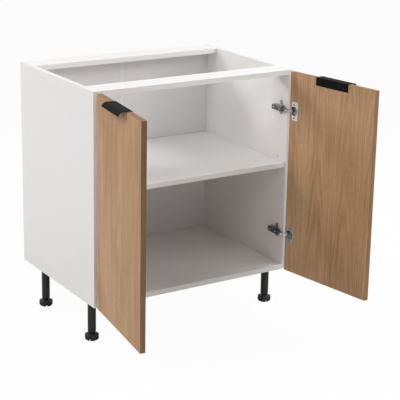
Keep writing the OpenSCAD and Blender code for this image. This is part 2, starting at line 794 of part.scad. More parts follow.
// The leaf spring inside each arm: flat under the arm's back, its tongue bent to the outer link
module hinge_springs() {
    leaf = 0.3;
    height = 3;
    root = [leaf - arm_x + arm_t, 15.5];
    bend = [leaf - arm_x + arm_t, 6];
    tongue = [leaf - arm_x + arm_t + 2, 1];
    color(dark_steel) for (side = [LEFT, RIGHT], z = hinge_z) on_side(side)
        translate([0, 0, z - height]) linear_extrude(height) strip([root, bend, tongue], leaf);
}

// The flange's outline: it covers the rim on the door's free side and ends short of it on the other
module flange_outline() {
    far = cup_d / 2 + cup_wall;
    offset(r = flange_corner) translate([flange_corner - far, flange_corner - flange_h / 2])
        square([far + flange_near - 2 * flange_corner, flange_h - 2 * flange_corner]);
}

// The cup in the door: a round bowl with a flange, and two ears that hold the cup pins
module hinge_cup(side, z) {
    inner_r = cup_d / 2 - cup_wall;
    ear_in = outer_pin_in + cup_pin_d / 2 + 1;
    ear_deep = inner_pin_deep + small_pin_d / 2 + 2;
    color(steel) on_door(side) translate([0, 0, z]) difference() {
        union() {
            difference() {
                union() {
                    translate([-cup_x, 0, 0]) rotate([90, 0, 0]) cylinder(d = cup_d, h = cup_depth);
                    translate([-cup_x, flange_t, 0]) rotate([90, 0, 0])
                        cylinder(d = cup_d + 2 * cup_wall, h = flange_t);
                    translate([-cup_x, flange_t, 0]) rotate([90, 0, 0])
                        linear_extrude(flange_t) flange_outline();
                }
                translate([-cup_x, flange_t + cut, 0]) rotate([90, 0, 0])
                    cylinder(r = inner_r, h = flange_t + cut + cup_depth - cup_floor);
            }
            intersection() {
                translate([-cup_x, flange_t, 0]) rotate([90, 0, 0])
                    cylinder(r = inner_r + cup_wall / 2, h = flange_t + cup_depth - cup_floor / 2);
                for (low = [ear_z, -ear_z - ear_t])
                    box([-ear_in, -ear_deep, low], [0, flange_t, low + ear_t]);
            }
        }
        translate([-outer_pin_in, -outer_pin_deep, -2 * ear_z])
            cylinder(d = cup_pin_d + 2 * fit, h = 4 * ear_z);
        translate([-inner_pin_in, -inner_pin_deep, -2 * ear_z])
            cylinder(d = small_pin_d + 2 * fit, h = 4 * ear_z);
        for (up = [-1, 1]) translate([-cup_x, flange_t, up * cup_screw_pitch / 2])
            rotate([90, 0, 0]) screw_hole(screw_l);
    }
}

// Cup pins: the outer link's pin runs through it, the inner link's ends in the ears
module cup_pins(side) {
    color(steel) on_door(side) for (z = hinge_z) {
        translate([-outer_pin_in, -outer_pin_deep, z - ear_z - ear_t])
            cylinder(d = cup_pin_d, h = ear_z + ear_t + outer_link_top);
        for (low = [ear_z - link_play / 2, -ear_z - ear_t])
            translate([-inner_pin_in, -inner_pin_deep, z + low])
                cylinder(d = small_pin_d, h = ear_t + link_play / 2);
    }
}

side_panel(LEFT);  // left_side_panel
side_panel(RIGHT);  // right_side_panel
bottom_panel();
front_rail();
rear_rail();
back_panel(LEFT);  // back_panel_left
back_panel(RIGHT);  // back_panel_right
back_joint_strip();
cam_bolts();
cam_locks();
wood_dowels();
front_edge_bands();
shelf();
shelf_pins();
leg_base(LEFT, leg_rows[0]);  // front_left_leg_base
leg_base(RIGHT, leg_rows[0]);  // front_right_leg_base
leg_base(LEFT, leg_rows[1]);  // rear_left_leg_base
leg_base(RIGHT, leg_rows[1]);  // rear_right_leg_base
leg_tube(LEFT, leg_rows[0]);  // front_left_leg_tube
leg_tube(RIGHT, leg_rows[0]);  // front_right_leg_tube
leg_tube(LEFT, leg_rows[1]);  // rear_left_leg_tube
leg_tube(RIGHT, leg_rows[1]);  // rear_right_leg_tube
foot(LEFT, leg_rows[0], front_foot_turns[0]);  // front_left_foot
foot(RIGHT, leg_rows[0], front_foot_turns[1]);  // front_right_foot
foot(LEFT, leg_rows[1], rear_foot_turns[0]);  // rear_left_foot
foot(RIGHT, leg_rows[1], rear_foot_turns[1]);  // rear_right_foot
leg_screws();
door(LEFT);  // left_door
door(RIGHT);  // right_door
door_edge_bands(LEFT);  // left_door_edge_bands
door_edge_bands(RIGHT);  // right_door_edge_bands
handle(LEFT);  // left_handle
handle(RIGHT);  // right_handle
door_screws(LEFT);  // left_door_screws
door_screws(RIGHT);  // right_door_screws
hinge_plate(LEFT, upper_z);  // left_upper_hinge_plate
hinge_plate(LEFT, lower_z);  // left_lower_hinge_plate
hinge_plate(RIGHT, upper_z);  // right_upper_hinge_plate
hinge_plate(RIGHT, lower_z);  // right_lower_hinge_plate
hinge_arm(LEFT, upper_z);  // left_upper_hinge_arm
hinge_arm(LEFT, lower_z);  // left_lower_hinge_arm
hinge_arm(RIGHT, upper_z);  // right_upper_hinge_arm
hinge_arm(RIGHT, lower_z);  // right_lower_hinge_arm
outer_link(LEFT, upper_z);  // left_upper_outer_link
outer_link(LEFT, lower_z);  // left_lower_outer_link
outer_link(RIGHT, upper_z);  // right_upper_outer_link
outer_link(RIGHT, lower_z);  // right_lower_outer_link
inner_link(LEFT, upper_z);  // left_upper_inner_link
inner_link(LEFT, lower_z);  // left_lower_inner_link
inner_link(RIGHT, upper_z);  // right_upper_inner_link
inner_link(RIGHT, lower_z);  // right_lower_inner_link
hinge_cup(LEFT, upper_z);  // left_upper_hinge_cup
hinge_cup(LEFT, lower_z);  // left_lower_hinge_cup
hinge_cup(RIGHT, upper_z);  // right_upper_hinge_cup
hinge_cup(RIGHT, lower_z);  // right_lower_hinge_cup
hinge_arm_pins();
hinge_plate_screws();
hinge_springs();
cup_pins(LEFT);  // left_cup_pins
cup_pins(RIGHT);  // right_cup_pins
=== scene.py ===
"""The looks of a two-door kitchen base cabinet that stands open on its adjustable legs.

Everything is in metres in the cabinet's frame: X runs to the right, Y to the back and Z up,
with the floor at z = 0. Each side of the cabinet has its own local place, with x counted from
the outside of the side panel, y from the front edges and z from the floor.
"""

import math

import bmesh
import bpy
from mathutils import Matrix, Vector


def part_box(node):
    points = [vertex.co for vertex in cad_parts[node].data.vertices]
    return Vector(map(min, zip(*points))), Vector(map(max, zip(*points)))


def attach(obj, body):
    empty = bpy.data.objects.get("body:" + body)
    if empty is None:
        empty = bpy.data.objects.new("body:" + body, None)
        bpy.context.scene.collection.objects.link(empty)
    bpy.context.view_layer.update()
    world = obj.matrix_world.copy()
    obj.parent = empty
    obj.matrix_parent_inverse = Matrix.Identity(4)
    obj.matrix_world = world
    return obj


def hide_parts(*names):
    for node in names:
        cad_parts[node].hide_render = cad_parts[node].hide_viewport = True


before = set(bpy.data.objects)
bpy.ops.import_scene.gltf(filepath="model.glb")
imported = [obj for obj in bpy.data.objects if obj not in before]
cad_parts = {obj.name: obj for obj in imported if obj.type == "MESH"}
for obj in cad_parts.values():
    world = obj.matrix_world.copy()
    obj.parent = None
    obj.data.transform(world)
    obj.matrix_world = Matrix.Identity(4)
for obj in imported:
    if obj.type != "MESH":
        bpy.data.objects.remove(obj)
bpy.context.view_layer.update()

# Sizes of the cabinet
MM = 0.001
CARCASS_W = 0.800
BOARD_T = 0.018
OPEN_ANGLE = math.radians(98.5)
OPEN_IN = 0.0215
OPEN_OUT = 0.018
DOOR_W = 0.397
DOOR_TOP = 0.897
HINGE_Z = {"upper": 0.757, "lower": 0.294}

# Legs
LEG_SIDE = 0.034
LEG_ROWS = {"front": 0.083, "rear": 0.448}
LEG_PLATE_W = 0.052
LEG_PLATE_Z = 0.143
TUBE_R = 0.01475
TUBE_BORE_R = 0.00505
SOCKET_R = 0.01055
SOCKET_Z = 0.12795
TUBE_Z = 0.028
NECK_TOP = 0.0277
STEM_R = 0.005
STEM_L = 0.055

# Places of the screws, from the middle of what they hold
LEG_SCREW_X = (0.008, -0.018)
LEG_SCREW_Y = 0.018
CUP_X = 0.0215
CUP_FACE = 0.0012
CUP_SCREW_Z = 0.024
HANDLE_FACE = 0.0015
HANDLE_SCREW_X = 0.055
HANDLE_SCREW_DOWN = 0.016
PLATE_Y = 0.037
PLATE_FACE = 0.0205
PLATE_SCREW_Z = 0.016
ARM_FACE = 0.0426
ARM_SCREW_Y = (0.020, 0.056)

# How far in from the carcass's outside an arm's back is, and how deep a cup's bowl is at least
ARM_BACK = 0.041
BOWL_DEEP = 0.010

# Front edges, sides and directions
FRONT_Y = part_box("front_edge_bands")[0].y
LEFT, RIGHT = -1, 1
SIDES = ((LEFT, "left"), (RIGHT, "right"))
UP = Vector((0.0, 0.0, 1.0))

# Lengths of the screws
WOOD_SCREW_L = 13 * MM
LEG_SCREW_L = 16 * MM
ARM_SCREW_L = 19.6 * MM

# Kinds of screw: every size by the name that it has in the screw's node tree
WOOD_SCREW = {
    "Head radius": 3.5 * MM, "Foot radius": 1.75 * MM, "Head height": 1.75 * MM,
    "Shank radius": 1.75 * MM, "Thread depth": 0.45 * MM, "Thread pitch": 1.3 * MM,
    "Recess radius": 1.9 * MM, "Recess depth": 1.1 * MM, "Point rows": 4.0,
}
ARM_SCREW = {
    "Head radius": 3.5 * MM, "Foot radius": 3.5 * MM, "Head height": 1.6 * MM,
    "Shank radius": 2.0 * MM, "Thread depth": 0.25 * MM, "Thread pitch": 0.8 * MM,
    "Recess radius": 2.2 * MM, "Recess depth": 1.2 * MM, "Point rows": 1.0,
}
STEM = {
    "Head radius": 4.4 * MM, "Foot radius": 4.4 * MM, "Head height": 1.0 * MM,
    "Shank radius": STEM_R, "Thread depth": 0.6 * MM, "Thread pitch": 2.0 * MM,
    "Recess radius": 1.0 * MM, "Recess depth": 0.2 * MM, "Point rows": 2.0,
}

# The ribs under a leg's plate and the leg's tube, by the names in their node trees
LEG_RIBS = {
    "Count": 12.0, "Inner radius": TUBE_R + 0.3 * MM, "Outer radius": 0.47 * LEG_PLATE_W,
    "Thickness": 1.4 * MM, "Height": 4.0 * MM,
}
TUBE_SIZES = {
    "Radius": TUBE_R, "Bottom": TUBE_Z, "Top": LEG_PLATE_Z, "Bevel": 2.0 * MM,
    "Flutes": 6.0, "Flute depth": 0.35 * MM, "Bore radius": TUBE_BORE_R,
    "Socket radius": SOCKET_R, "Socket bottom": SOCKET_Z,
}
# How far the stem's shape starts inside the foot, and how far the knob is cut below its neck
STEM_SUNK = 1.0 * MM
NECK_CUT = 0.2 * MM

# Driver slots in the cams, and how far each cam is turned on from the last one
CAM_SLOT_L = 9.0 * MM
CAM_SLOT_W = 1.8 * MM
CAM_SLOT_DEEP = 1.6 * MM
CAM_TURN = 0.6

# How much the edges of each kind of piece are eased
BOARD_EASE = 0.5 * MM
BAND_EASE = 0.4 * MM
HANDLE_EASE = 0.35 * MM
MOULDED_EASE = 0.5 * MM
PRESSED_EASE = 0.2 * MM
STRIP_EASE = 0.2 * MM
VENEER_EASE = 0.1 * MM
CAST_EASE = 0.4 * MM
BORE_EASE = 0.7 * MM
BOWL_EASE = 0.5 * MM
ARM_ROUND = 2.4 * MM

# The shortest edges that are eased, where short ones stay sharp
BOARD_EDGE = 10 * MM
PLATE_EDGE = 6 * MM
WING_EDGE = 4 * MM
ARM_EDGE = 6 * MM
ARM_LONG_EDGE = 30 * MM
LINK_EDGE = 2.5 * MM
BOWL_EDGE = 1 * MM
KNOB_EDGE = 1.5 * MM
HANDLE_EDGE = 1.2 * MM
# The edges round a bore are shorter than this
BORE_EDGE = 1.5 * MM
# How far the faces beside an edge have to fold for the edge to be eased
FOLD = math.radians(60)
EASED_FOLD = math.radians(40)
BOARD_FOLD = math.radians(50)
KNOB_FOLD = math.radians(30)

# Points closer than WELD are one point, faces within SAME are on one level, and NEAR is looser
WELD = 0.002 * MM
SAME = 0.01 * MM
NEAR = 0.1 * MM

# Camera, as fitted to the photo's edges
CAMERA_PLACE = Vector((-2.2809, -3.6580, 1.7943))
CAMERA_AZIMUTH = math.radians(32.635)
CAMERA_ELEVATION = math.radians(15.466)
CAMERA_ROLL = math.radians(1.092)
CAMERA_LENS = 114.95
CAMERA_SENSOR = 36.0
CAMERA_SHIFT = -0.10

# White lamps: name, place and watts, each aimed at the middle of the cabinet
LAMP_AIM = Vector((0.0, 0.0, 0.5))
LAMP_SIZE = 1.4
LAMPS = (
    ("left_rear_softbox", (-2.6, 2.4, 2.6), 62.0),
    ("left_high_softbox", (-2.2, 0.0, 3.4), 26.0),
    ("left_low_softbox", (-3.6, 0.3, 1.6), 14.0),
    ("left_front_softbox", (-3.0, -2.4, 2.8), 22.0),
    ("top_softbox", (0.0, 1.0, 4.0), 11.0),
    ("top_front_softbox", (0.0, -2.2, 3.6), 11.0),
    ("right_softbox", (3.2, -1.4, 2.2), 55.0),
    ("right_high_softbox", (2.6, -0.6, 3.2), 58.0),
    ("front_high_softbox", (1.2, -3.2, 3.0), 15.0),
    ("front_softbox", (-0.8, -4.2, 1.2), 9.0),
)
SKY_STRENGTH = 0.01
# How much of the floor's own white the camera sees, and how far the floor reaches
FLOOR_GLOW = 0.96
FLOOR_REACH = 14.0


# ---- Node helpers ----

class Nodes:
    """A node tree that is put together node by node."""

    def __init__(self, tree):
        self.tree = tree

    def node(self, kind, **settings):
        made = self.tree.nodes.new(kind)
        for key, value in settings.items():
            setattr(made, key, value)
        return made

    def link(self, source, target):
        self.tree.links.new(source, target)

    def feed(self, value, socket):
        """Puts a number, a colour or another node's output into a socket."""
        if isinstance(value, bpy.types.NodeSocket):
            self.link(value, socket)
        elif socket.type == "RGBA":
            socket.default_value = (*value, 1.0)
        else:
            socket.default_value = value

    def math(self, operation, first, second=0.0, third=0.0, clamp=False):
        made = self.node("ShaderNodeMath", operation=operation, use_clamp=clamp)
        for value, socket in zip((first, second, third), made.inputs):
            self.feed(value, socket)
        return made.outputs[0]

    def mixed_shaders(self, share, first, second, surface):
        """Mixes two shaders and puts them on a surface."""
        made = self.node("ShaderNodeMixShader")
        for value, socket in zip((share, first.outputs[0], second.outputs[0]), made.inputs):
            self.link(value, socket)
        self.link(made.outputs[0], surface)

    def axes(self, point):
        made = self.node("ShaderNodeSeparateXYZ")
        self.link(point, made.inputs[0])
        return made.outputs

    def joined(self, x, y, z):
        made = self.node("ShaderNodeCombineXYZ")
        for value, socket in zip((x, y, z), made.inputs):
            self.feed(value, socket)
        return made.outputs[0]


class Finish(Nodes):
    """A material that is put together from nodes."""

    def __init__(self, name):
        self.material = bpy.data.materials.new(name)
        self.material.use_nodes = True
        super().__init__(self.material.node_tree)
        self.shader = self.tree.nodes["Principled BSDF"]
        self.output = self.tree.nodes["Material Output"]

    def place(self):
        """The position on the piece, in metres."""
        return self.node("ShaderNodeTexCoord").outputs["Object"]

    def local(self, point, corner, turn):
        """The position in a local frame at a corner, turned about Z."""
        made = self.node("ShaderNodeMapping", vector_type="TEXTURE")
        self.link(point, made.inputs["Vector"])
        made.inputs["Location"].default_value = corner
        made.inputs["Rotation"].default_value = (0.0, 0.0, turn)
        return made.outputs["Vector"]

    def vector(self, operation, point, other=(0.0, 0.0, 0.0)):
        made = self.node("ShaderNodeVectorMath", operation=operation)
        self.link(point, made.inputs[0])
        made.inputs[1].default_value = other
        return made.outputs[0]

    def noise(self, point, scale, detail=2.0, roughness=0.5, seed=0.0):
        made = self.node("ShaderNodeTexNoise", noise_dimensions="4D")
        self.link(point, made.inputs["Vector"])
        made.inputs["W"].default_value = seed
        made.inputs["Scale"].default_value = scale
        made.inputs["Detail"].default_value = detail
        made.inputs["Roughness"].default_value = roughness
        return made.outputs["Fac"]

    def streaks(self, point, pull, scale, detail, roughness, seed):
        """Noise that is drawn out along z: the smaller the pull, the longer the streaks."""
        drawn = self.vector("MULTIPLY", point, (1.0, 1.0, pull))
        return self.noise(drawn, scale, detail, roughness, seed)

    def ramp(self, factor, *stops):
        """A colour ramp over (position, colour) stops."""
        made = self.node("ShaderNodeValToRGB")
        marks = made.color_ramp.elements
        while len(marks) < len(stops):
            marks.new(0.5)
        for mark, (position, colour) in zip(marks, stops):
            mark.position = position
            mark.color = (*colour, 1.0)
        self.link(factor, made.inputs["Fac"])
        return made.outputs["Color"]

    def span(self, value, low, high, to_low=0.0, to_high=1.0):
        """Maps a range of numbers onto another, and stops at its ends."""
        made = self.node("ShaderNodeMapRange")
        names = ("Value", "From Min", "From Max", "To Min", "To Max")
        for name, number in zip(names, (value, low, high, to_low, to_high)):
            self.feed(number, made.inputs[name])
        return made.outputs["Result"]

    def mixed(self, factor, first, second, blend="MIX"):
        """Mixes two colours."""
        made = self.node("ShaderNodeMix", data_type="RGBA", blend_type=blend)
        sockets = [s for s in made.inputs if s.type == "RGBA"]
        self.feed(factor, made.inputs[0])
        for value, socket in zip((first, second), sockets):
            self.feed(value, socket)
        return [s for s in made.outputs if s.type == "RGBA"][0]

    def shaded(self, colour, shade):
        """A colour made darker by a number from 0 to 1."""
        return self.mixed(1.0, colour, self.joined(shade, shade, shade), "MULTIPLY")

    def mixed_number(self, factor, first, second):
        made = self.node("ShaderNodeMix", data_type="FLOAT")
        self.feed(factor, made.inputs[0])
        self.feed(first, made.inputs[2])
        self.feed(second, made.inputs[3])
        return made.outputs[0]

    def bump(self, height, distance, strength=1.0):
        made = self.node("ShaderNodeBump")
        made.inputs["Strength"].default_value = strength
        made.inputs["Distance"].default_value = distance
        self.link(height, made.inputs["Height"])
        self.link(made.outputs["Normal"], self.shader.inputs["Normal"])

    def surface(self, colour=None, roughness=None, metallic=0.0, specular=0.5):
        if colour is not None:
            self.feed(colour, self.shader.inputs["Base Color"])
        if roughness is not None:
            self.feed(roughness, self.shader.inputs["Roughness"])
        self.shader.inputs["Metallic"].default_value = metallic
        self.shader.inputs["Specular IOR Level"].default_value = specular
        return self.material


def in_scene(name, data):
    """A new object in the scene, for a mesh, a lamp or a camera."""
    made = bpy.data.objects.new(name, data)
    bpy.context.scene.collection.objects.link(made)
    return made


def settled(holder):
    """The mesh that an object's modifiers make. The object is used up."""
    graph = bpy.context.evaluated_depsgraph_get()
    data = bpy.data.meshes.new_from_object(
        holder.evaluated_get(graph), preserve_all_data_layers=True, depsgraph=graph
    )
    bpy.data.objects.remove(holder)
    return data


class Shape(Nodes):
    """A Geometry Nodes tree with named sizes, which makes a shape at every point it is given."""

    def __init__(self, name, sizes):
        super().__init__(bpy.data.node_groups.new(name, "GeometryNodeTree"))
        face = self.tree.interface
        kinds = {"Geometry": "Geometry", **dict.fromkeys(sizes, "Float"), "Finish": "Material"}
        for size, kind in kinds.items():
            face.new_socket(size, in_out="INPUT", socket_type=f"NodeSocket{kind}")
        face.new_socket("Geometry", in_out="OUTPUT", socket_type="NodeSocketGeometry")
        self.given = self.node("NodeGroupInput").outputs
        self.result = self.node("NodeGroupOutput").inputs[0]

    def by_row(self, row, *values):
        """One value for each row, and the last one for all the rows after it."""
        made = self.node("GeometryNodeIndexSwitch", data_type="FLOAT")
        while len(made.index_switch_items) < len(values):
            made.index_switch_items.new()
        self.feed(self.math("MINIMUM", row, len(values) - 1.0), made.inputs["Index"])
        for index, value in enumerate(values):
            self.feed(value, made.inputs[index + 1])
        return made.outputs[0]

    def wrapped(self, rows, sides):
        """A sheet to wrap round Z: its mesh, each point's row and each point's angle."""
        sheet = self.node("GeometryNodeMeshGrid")
        gaps = self.math("SUBTRACT", rows, 1.0)
        self.feed(gaps, sheet.inputs["Size X"])
        self.feed(float(sides), sheet.inputs["Size Y"])
        self.feed(self.math("ROUND", rows), sheet.inputs["Vertices X"])
        sheet.inputs["Vertices Y"].default_value = sides + 1
        along, around = self.axes(self.node("GeometryNodeInputPosition").outputs[0])[:2]
        row = self.math("ROUND", self.math("MULTIPLY_ADD", gaps, 0.5, along))
        angle = self.math("MULTIPLY", around, -2.0 * math.pi / sides)
        return sheet.outputs["Mesh"], row, angle

    def turned(self, mesh, angle, radius, height):
        """Wraps such a sheet to a closed round body."""
        x = self.math("MULTIPLY", radius, self.math("COSINE", angle))
        y = self.math("MULTIPLY", radius, self.math("SINE", angle))
        moved = self.node("GeometryNodeSetPosition")
        self.link(mesh, moved.inputs["Geometry"])
        self.link(self.joined(x, y, height), moved.inputs["Position"])
        welded = self.node("GeometryNodeMergeByDistance")
        self.link(moved.outputs[0], welded.inputs["Geometry"])
        welded.inputs["Distance"].default_value = WELD
        return welded.outputs[0]

    def planted(self, points, shape, rotation=None):
        """Puts a shape at every point, as real faces with the given finish."""
        made = self.node("GeometryNodeInstanceOnPoints")
        self.link(points, made.inputs["Points"])
        self.link(shape, made.inputs["Instance"])
        if rotation is not None:
            self.link(rotation, made.inputs["Rotation"])
        real = self.node("GeometryNodeRealizeInstances")
        self.link(made.outputs[0], real.inputs[0])
        dressed = self.node("GeometryNodeSetMaterial")
        self.link(real.outputs[0], dressed.inputs["Geometry"])
        self.link(self.given["Finish"], dressed.inputs["Material"])
        self.link(dressed.outputs[0], self.result)

    def grown(self, name, points, sizes, material, aims=None):
        """The mesh that the tree makes at some points, each with its own aim."""
        carrier = bpy.data.meshes.new(name)
        carrier.from_pydata([tuple(point) for point in points], [], [])
        if aims:
            aim = carrier.attributes.new("aim", "FLOAT_VECTOR", "POINT")
            for value, direction in zip(aim.data, aims):
                value.vector = direction
        holder = in_scene(name, carrier)
        modifier = holder.modifiers.new(name, "NODES")
        modifier.node_group = self.tree
        wanted = dict(sizes, Finish=material)
        for socket in self.tree.interface.items_tree:
            if socket.in_out == "INPUT" and socket.name in wanted:
                modifier[socket.identifier] = wanted[socket.name]
        return settled(holder)


def paint(*levels):
    """An sRGB colour, written from 0 to 255, as the linear colour that a shader takes."""
    made = []
    for level in levels:
        value = level / 255
        made.append(value / 12.92 if value <= 0.04045 else ((value + 0.055) / 1.055) ** 2.4)
    return tuple(made)


# ---- Materials ----

WHITE_FACE = paint(238, 236, 235)
WHITE_BACK = paint(229, 227, 226)
CORE_LIGHT = paint(182, 132, 84)
CORE_DARK = paint(112, 76, 46)


def chip_core(finish, point):
    """The pressed wood chips that show in bores and grooves."""
    chips = finish.noise(point, 420.0, 3.0, 0.7, 3.1)
    return finish.ramp(chips, (0.32, CORE_DARK), (0.62, CORE_LIGHT))


def inside_of(finish, point, low, high, skin):
    """1 inside a board's skin and 0 on its faces."""
    middle, half = (low + high) / 2, (high - low) / 2
    offset = finish.vector("ABSOLUTE", finish.vector("ADD", point, -middle))
    parts = finish.axes(offset)
    inner = None
    for part, reach in zip(parts, half):
        within = finish.math("LESS_THAN", part, reach - skin)
        inner = within if inner is None else finish.math("MULTIPLY", inner, within)
    return inner


def melamine(name, low, high, skin=0.3 * MM, face=WHITE_FACE):
    """White melamine on chipboard: a fine satin texture, with raw chips in every bore."""
    finish = Finish(name)
    point = finish.place()
    cloud = finish.noise(point, 9.0, 3.0, 0.5, 1.7)
    pearl = finish.noise(point, 1400.0, 2.0, 0.6, 5.3)
    shade = finish.span(cloud, 0.3, 0.7, 0.985, 1.0)
    white = finish.shaded(face, shade)
    inner = inside_of(finish, point, low, high, skin)
    colour = finish.mixed(inner, white, chip_core(finish, point))
    rough = finish.span(pearl, 0.3, 0.7, 0.36, 0.46)
    finish.bump(pearl, 0.00006, 0.35)
    return finish.surface(colour, finish.mixed_number(inner, rough, 0.9))


def edge_band_white():
    """The smoother white band on the front edges."""
    finish = Finish("white_edge_band")
    point = finish.place()
    grain = finish.noise(point, 900.0, 2.0, 0.5, 2.2)
    shade = finish.span(finish.noise(point, 14.0, 2.0, 0.5, 8.8), 0.3, 0.7, 0.975, 1.0)
    colour = finish.shaded(WHITE_FACE, shade)
    finish.bump(grain, 0.00004, 0.3)
    return finish.surface(colour, finish.span(grain, 0.3, 0.7, 0.30, 0.38))


def hardboard():
    """Thin fibreboard: lacquered white on the front and raw brown on the rear."""
    finish = Finish("lacquered_hardboard")
    point = finish.place()
    front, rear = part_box("back_panel_left")
    raw = finish.math("GREATER_THAN", finish.axes(point)[1], (front.y + rear.y) / 2)
    felt = finish.noise(point, 700.0, 4.0, 0.7, 4.4)
    blotch = finish.noise(point, 26.0, 4.0, 0.6, 9.1)
    brown = finish.ramp(felt, (0.3, paint(112, 80, 52)), (0.7, paint(150, 112, 77)))
    brown = finish.mixed(finish.span(blotch, 0.35, 0.7, 0.0, 0.35), brown, paint(98, 70, 46))
    lacquer = finish.span(finish.noise(point, 12.0, 2.0, 0.5, 6.0), 0.3, 0.7, 0.98, 1.0)
    white = finish.shaded(WHITE_BACK, lacquer)
    finish.bump(felt, 0.00008, 0.4)
    colour = finish.mixed(raw, white, brown)
    return finish.surface(colour, finish.mixed_number(raw, 0.42, 0.85))


def white_strip():
    """The extruded white plastic strip down the back."""
    finish = Finish("white_plastic_strip")
    point = finish.place()
    lines = finish.streaks(point, 0.01, 1600.0, 2.0, 0.5, 7.7)
    finish.bump(lines, 0.00005, 0.3)
    return finish.surface(paint(232, 232, 230), finish.span(lines, 0.3, 0.7, 0.32, 0.42))


OAK_LIGHT = paint(203, 169, 134)
OAK_MIDDLE = paint(182, 145, 108)
OAK_DARK = paint(150, 111, 76)
OAK_PORE = paint(124, 90, 61)
OAK_WARM = paint(178, 134, 92)
# Each door's figure: its seed, the middle of its first leaf, half a leaf's width, its strength
FIGURE = {
    LEFT: {"seed": 1.0, "middle": 0.205, "leaf": 0.100, "figure_share": 0.08},
    RIGHT: {"seed": 3.0, "middle": 0.147, "leaf": 0.0665, "figure_share": 0.15},
}
# The bands have another seed and a weaker figure. Their colour is multiplied by a painted shade for
# the shadow on the door edges, deeper on the left door than on the right
BAND_SEED = 10.0
BAND_FIGURE = 0.04
BAND_PAINTED_SHADE = {LEFT: (0.50, 0.43, 0.35), RIGHT: (0.64, 0.57, 0.49)}


def oak(name, corner, turn, seed, middle, leaf, figure_share, shade=(1.0, 1.0, 1.0)):
    """Light oak with upright grain. x runs along the door's width and z along the grain.

    The figure comes in upright leaves, as it does in veneer: long soft arches down the middle
    of each leaf and straight lines towards its sides.
    """
    finish = Finish(name)
    point = finish.local(finish.place(), corner, turn)
    sway = finish.streaks(point, 0.16, 7.0, 3.0, 0.5, seed)
    x, _, z = finish.axes(point)
    bent = finish.math("MULTIPLY_ADD", finish.math("SUBTRACT", sway, 0.5), 0.05, x)
    across = finish.math("PINGPONG", finish.math("ADD", bent, middle + 8.0 * leaf), leaf)
    arch = finish.math("MULTIPLY", finish.math("MULTIPLY", across, across), 62.0)
    wobble = finish.streaks(point, 0.12, 30.0, 2.0, 0.5, seed + 4.0)
    figure = finish.math("MULTIPLY_ADD", z, 0.42, arch)
    figure = finish.math("MULTIPLY_ADD", wobble, 0.11, figure)
    rings = finish.span(finish.math("SINE", finish.math("MULTIPLY", figure, 92.0)), -1.0, 1.0)
    patchy = finish.streaks(point, 0.35, 11.0, 3.0, 0.6, seed + 7.0)
    rings = finish.math("MULTIPLY", rings, finish.span(patchy, 0.35, 0.65, 0.15, 1.0))
    fibre = finish.streaks(point, 0.018, 230.0, 3.0, 0.65, seed + 1.0)
    streak = finish.streaks(point, 0.03, 62.0, 3.0, 0.6, seed + 2.0)
    tone = finish.streaks(point, 0.24, 8.5, 4.0, 0.6, seed + 3.0)
    mix = finish.math("MULTIPLY", rings, figure_share)
    mix = finish.math("MULTIPLY_ADD", streak, 0.46, mix)
    mix = finish.math("MULTIPLY_ADD", fibre, 0.30, mix)
    mix = finish.math("MULTIPLY_ADD", tone, 0.46, mix)
    middle_mix = 0.61 + 0.28 * figure_share
    wood = finish.ramp(
        finish.span(mix, middle_mix - 0.19, middle_mix + 0.21),
        (0.0, OAK_LIGHT),
        (0.5, OAK_MIDDLE),
        (1.0, OAK_DARK),
    )
    warmth = finish.streaks(point, 0.3, 5.0, 2.0, 0.5, seed + 6.0)
    wood = finish.mixed(finish.span(warmth, 0.45, 0.75, 0.0, 0.5), wood, OAK_WARM)
    dashes = finish.streaks(point, 0.04, 900.0, 1.0, 0.4, seed + 5.0)
    pores = finish.span(dashes, 0.58, 0.68, 0.0, 0.45)
    wood = finish.mixed(pores, wood, OAK_PORE)
    # The shade multiplies the colour: on the bands it is a painted shade for their shadow, darker
    # on the left door
    wood = finish.mixed(1.0, wood, shade, "MULTIPLY")
    relief = finish.math("MULTIPLY_ADD", pores, -0.8, fibre)
    finish.bump(relief, 0.00012, 0.5)
    rough = finish.span(fibre, 0.3, 0.7, 0.46, 0.60)
    return finish.surface(wood, rough, specular=0.3)


def moulded_black():
    """Black plastic with a fine moulded texture and rubbed high spots."""
    finish = Finish("moulded_black_plastic")
    point = finish.place()
    grain = finish.noise(point, 1500.0, 2.0, 0.6, 1.1)
    worn = finish.noise(point, 60.0, 3.0, 0.6, 2.5)
    colour = finish.ramp(worn, (0.35, paint(34, 34, 33)), (0.75, paint(44, 43, 42)))
    finish.bump(grain, 0.00008, 0.4)
    return finish.surface(colour, finish.span(worn, 0.3, 0.7, 0.42, 0.56), specular=0.3)


def painted_black():
    """Matt black paint on aluminium."""
    finish = Finish("matt_black_metal")
    point = finish.place()
    grit = finish.noise(point, 2200.0, 2.0, 0.7, 6.6)
    cloud = finish.noise(point, 40.0, 2.0, 0.5, 3.4)
    colour = finish.ramp(cloud, (0.3, paint(14, 14, 15)), (0.7, paint(20, 20, 21)))
    finish.bump(grit, 0.00005, 0.5)
    return finish.surface(colour, finish.span(grit, 0.3, 0.7, 0.60, 0.72), specular=0.05)


def metal(name, dark, light, rough_low, rough_high, lines=False):
    """Bare or plated metal with slightly uneven gloss."""
    finish = Finish(name)
    point = finish.place()
    stretched = finish.vector("MULTIPLY", point, (1.0, 1.0, 0.05)) if lines else point
    marks = finish.noise(stretched, 900.0, 3.0, 0.6, 2.9)
    cloud = finish.noise(point, 120.0, 3.0, 0.5, 7.2)
    colour = finish.ramp(cloud, (0.3, dark), (0.7, light))
    finish.bump(marks, 0.00004, 0.4)
    return finish.surface(colour, finish.span(cloud, 0.3, 0.7, rough_low, rough_high), metallic=1.0)


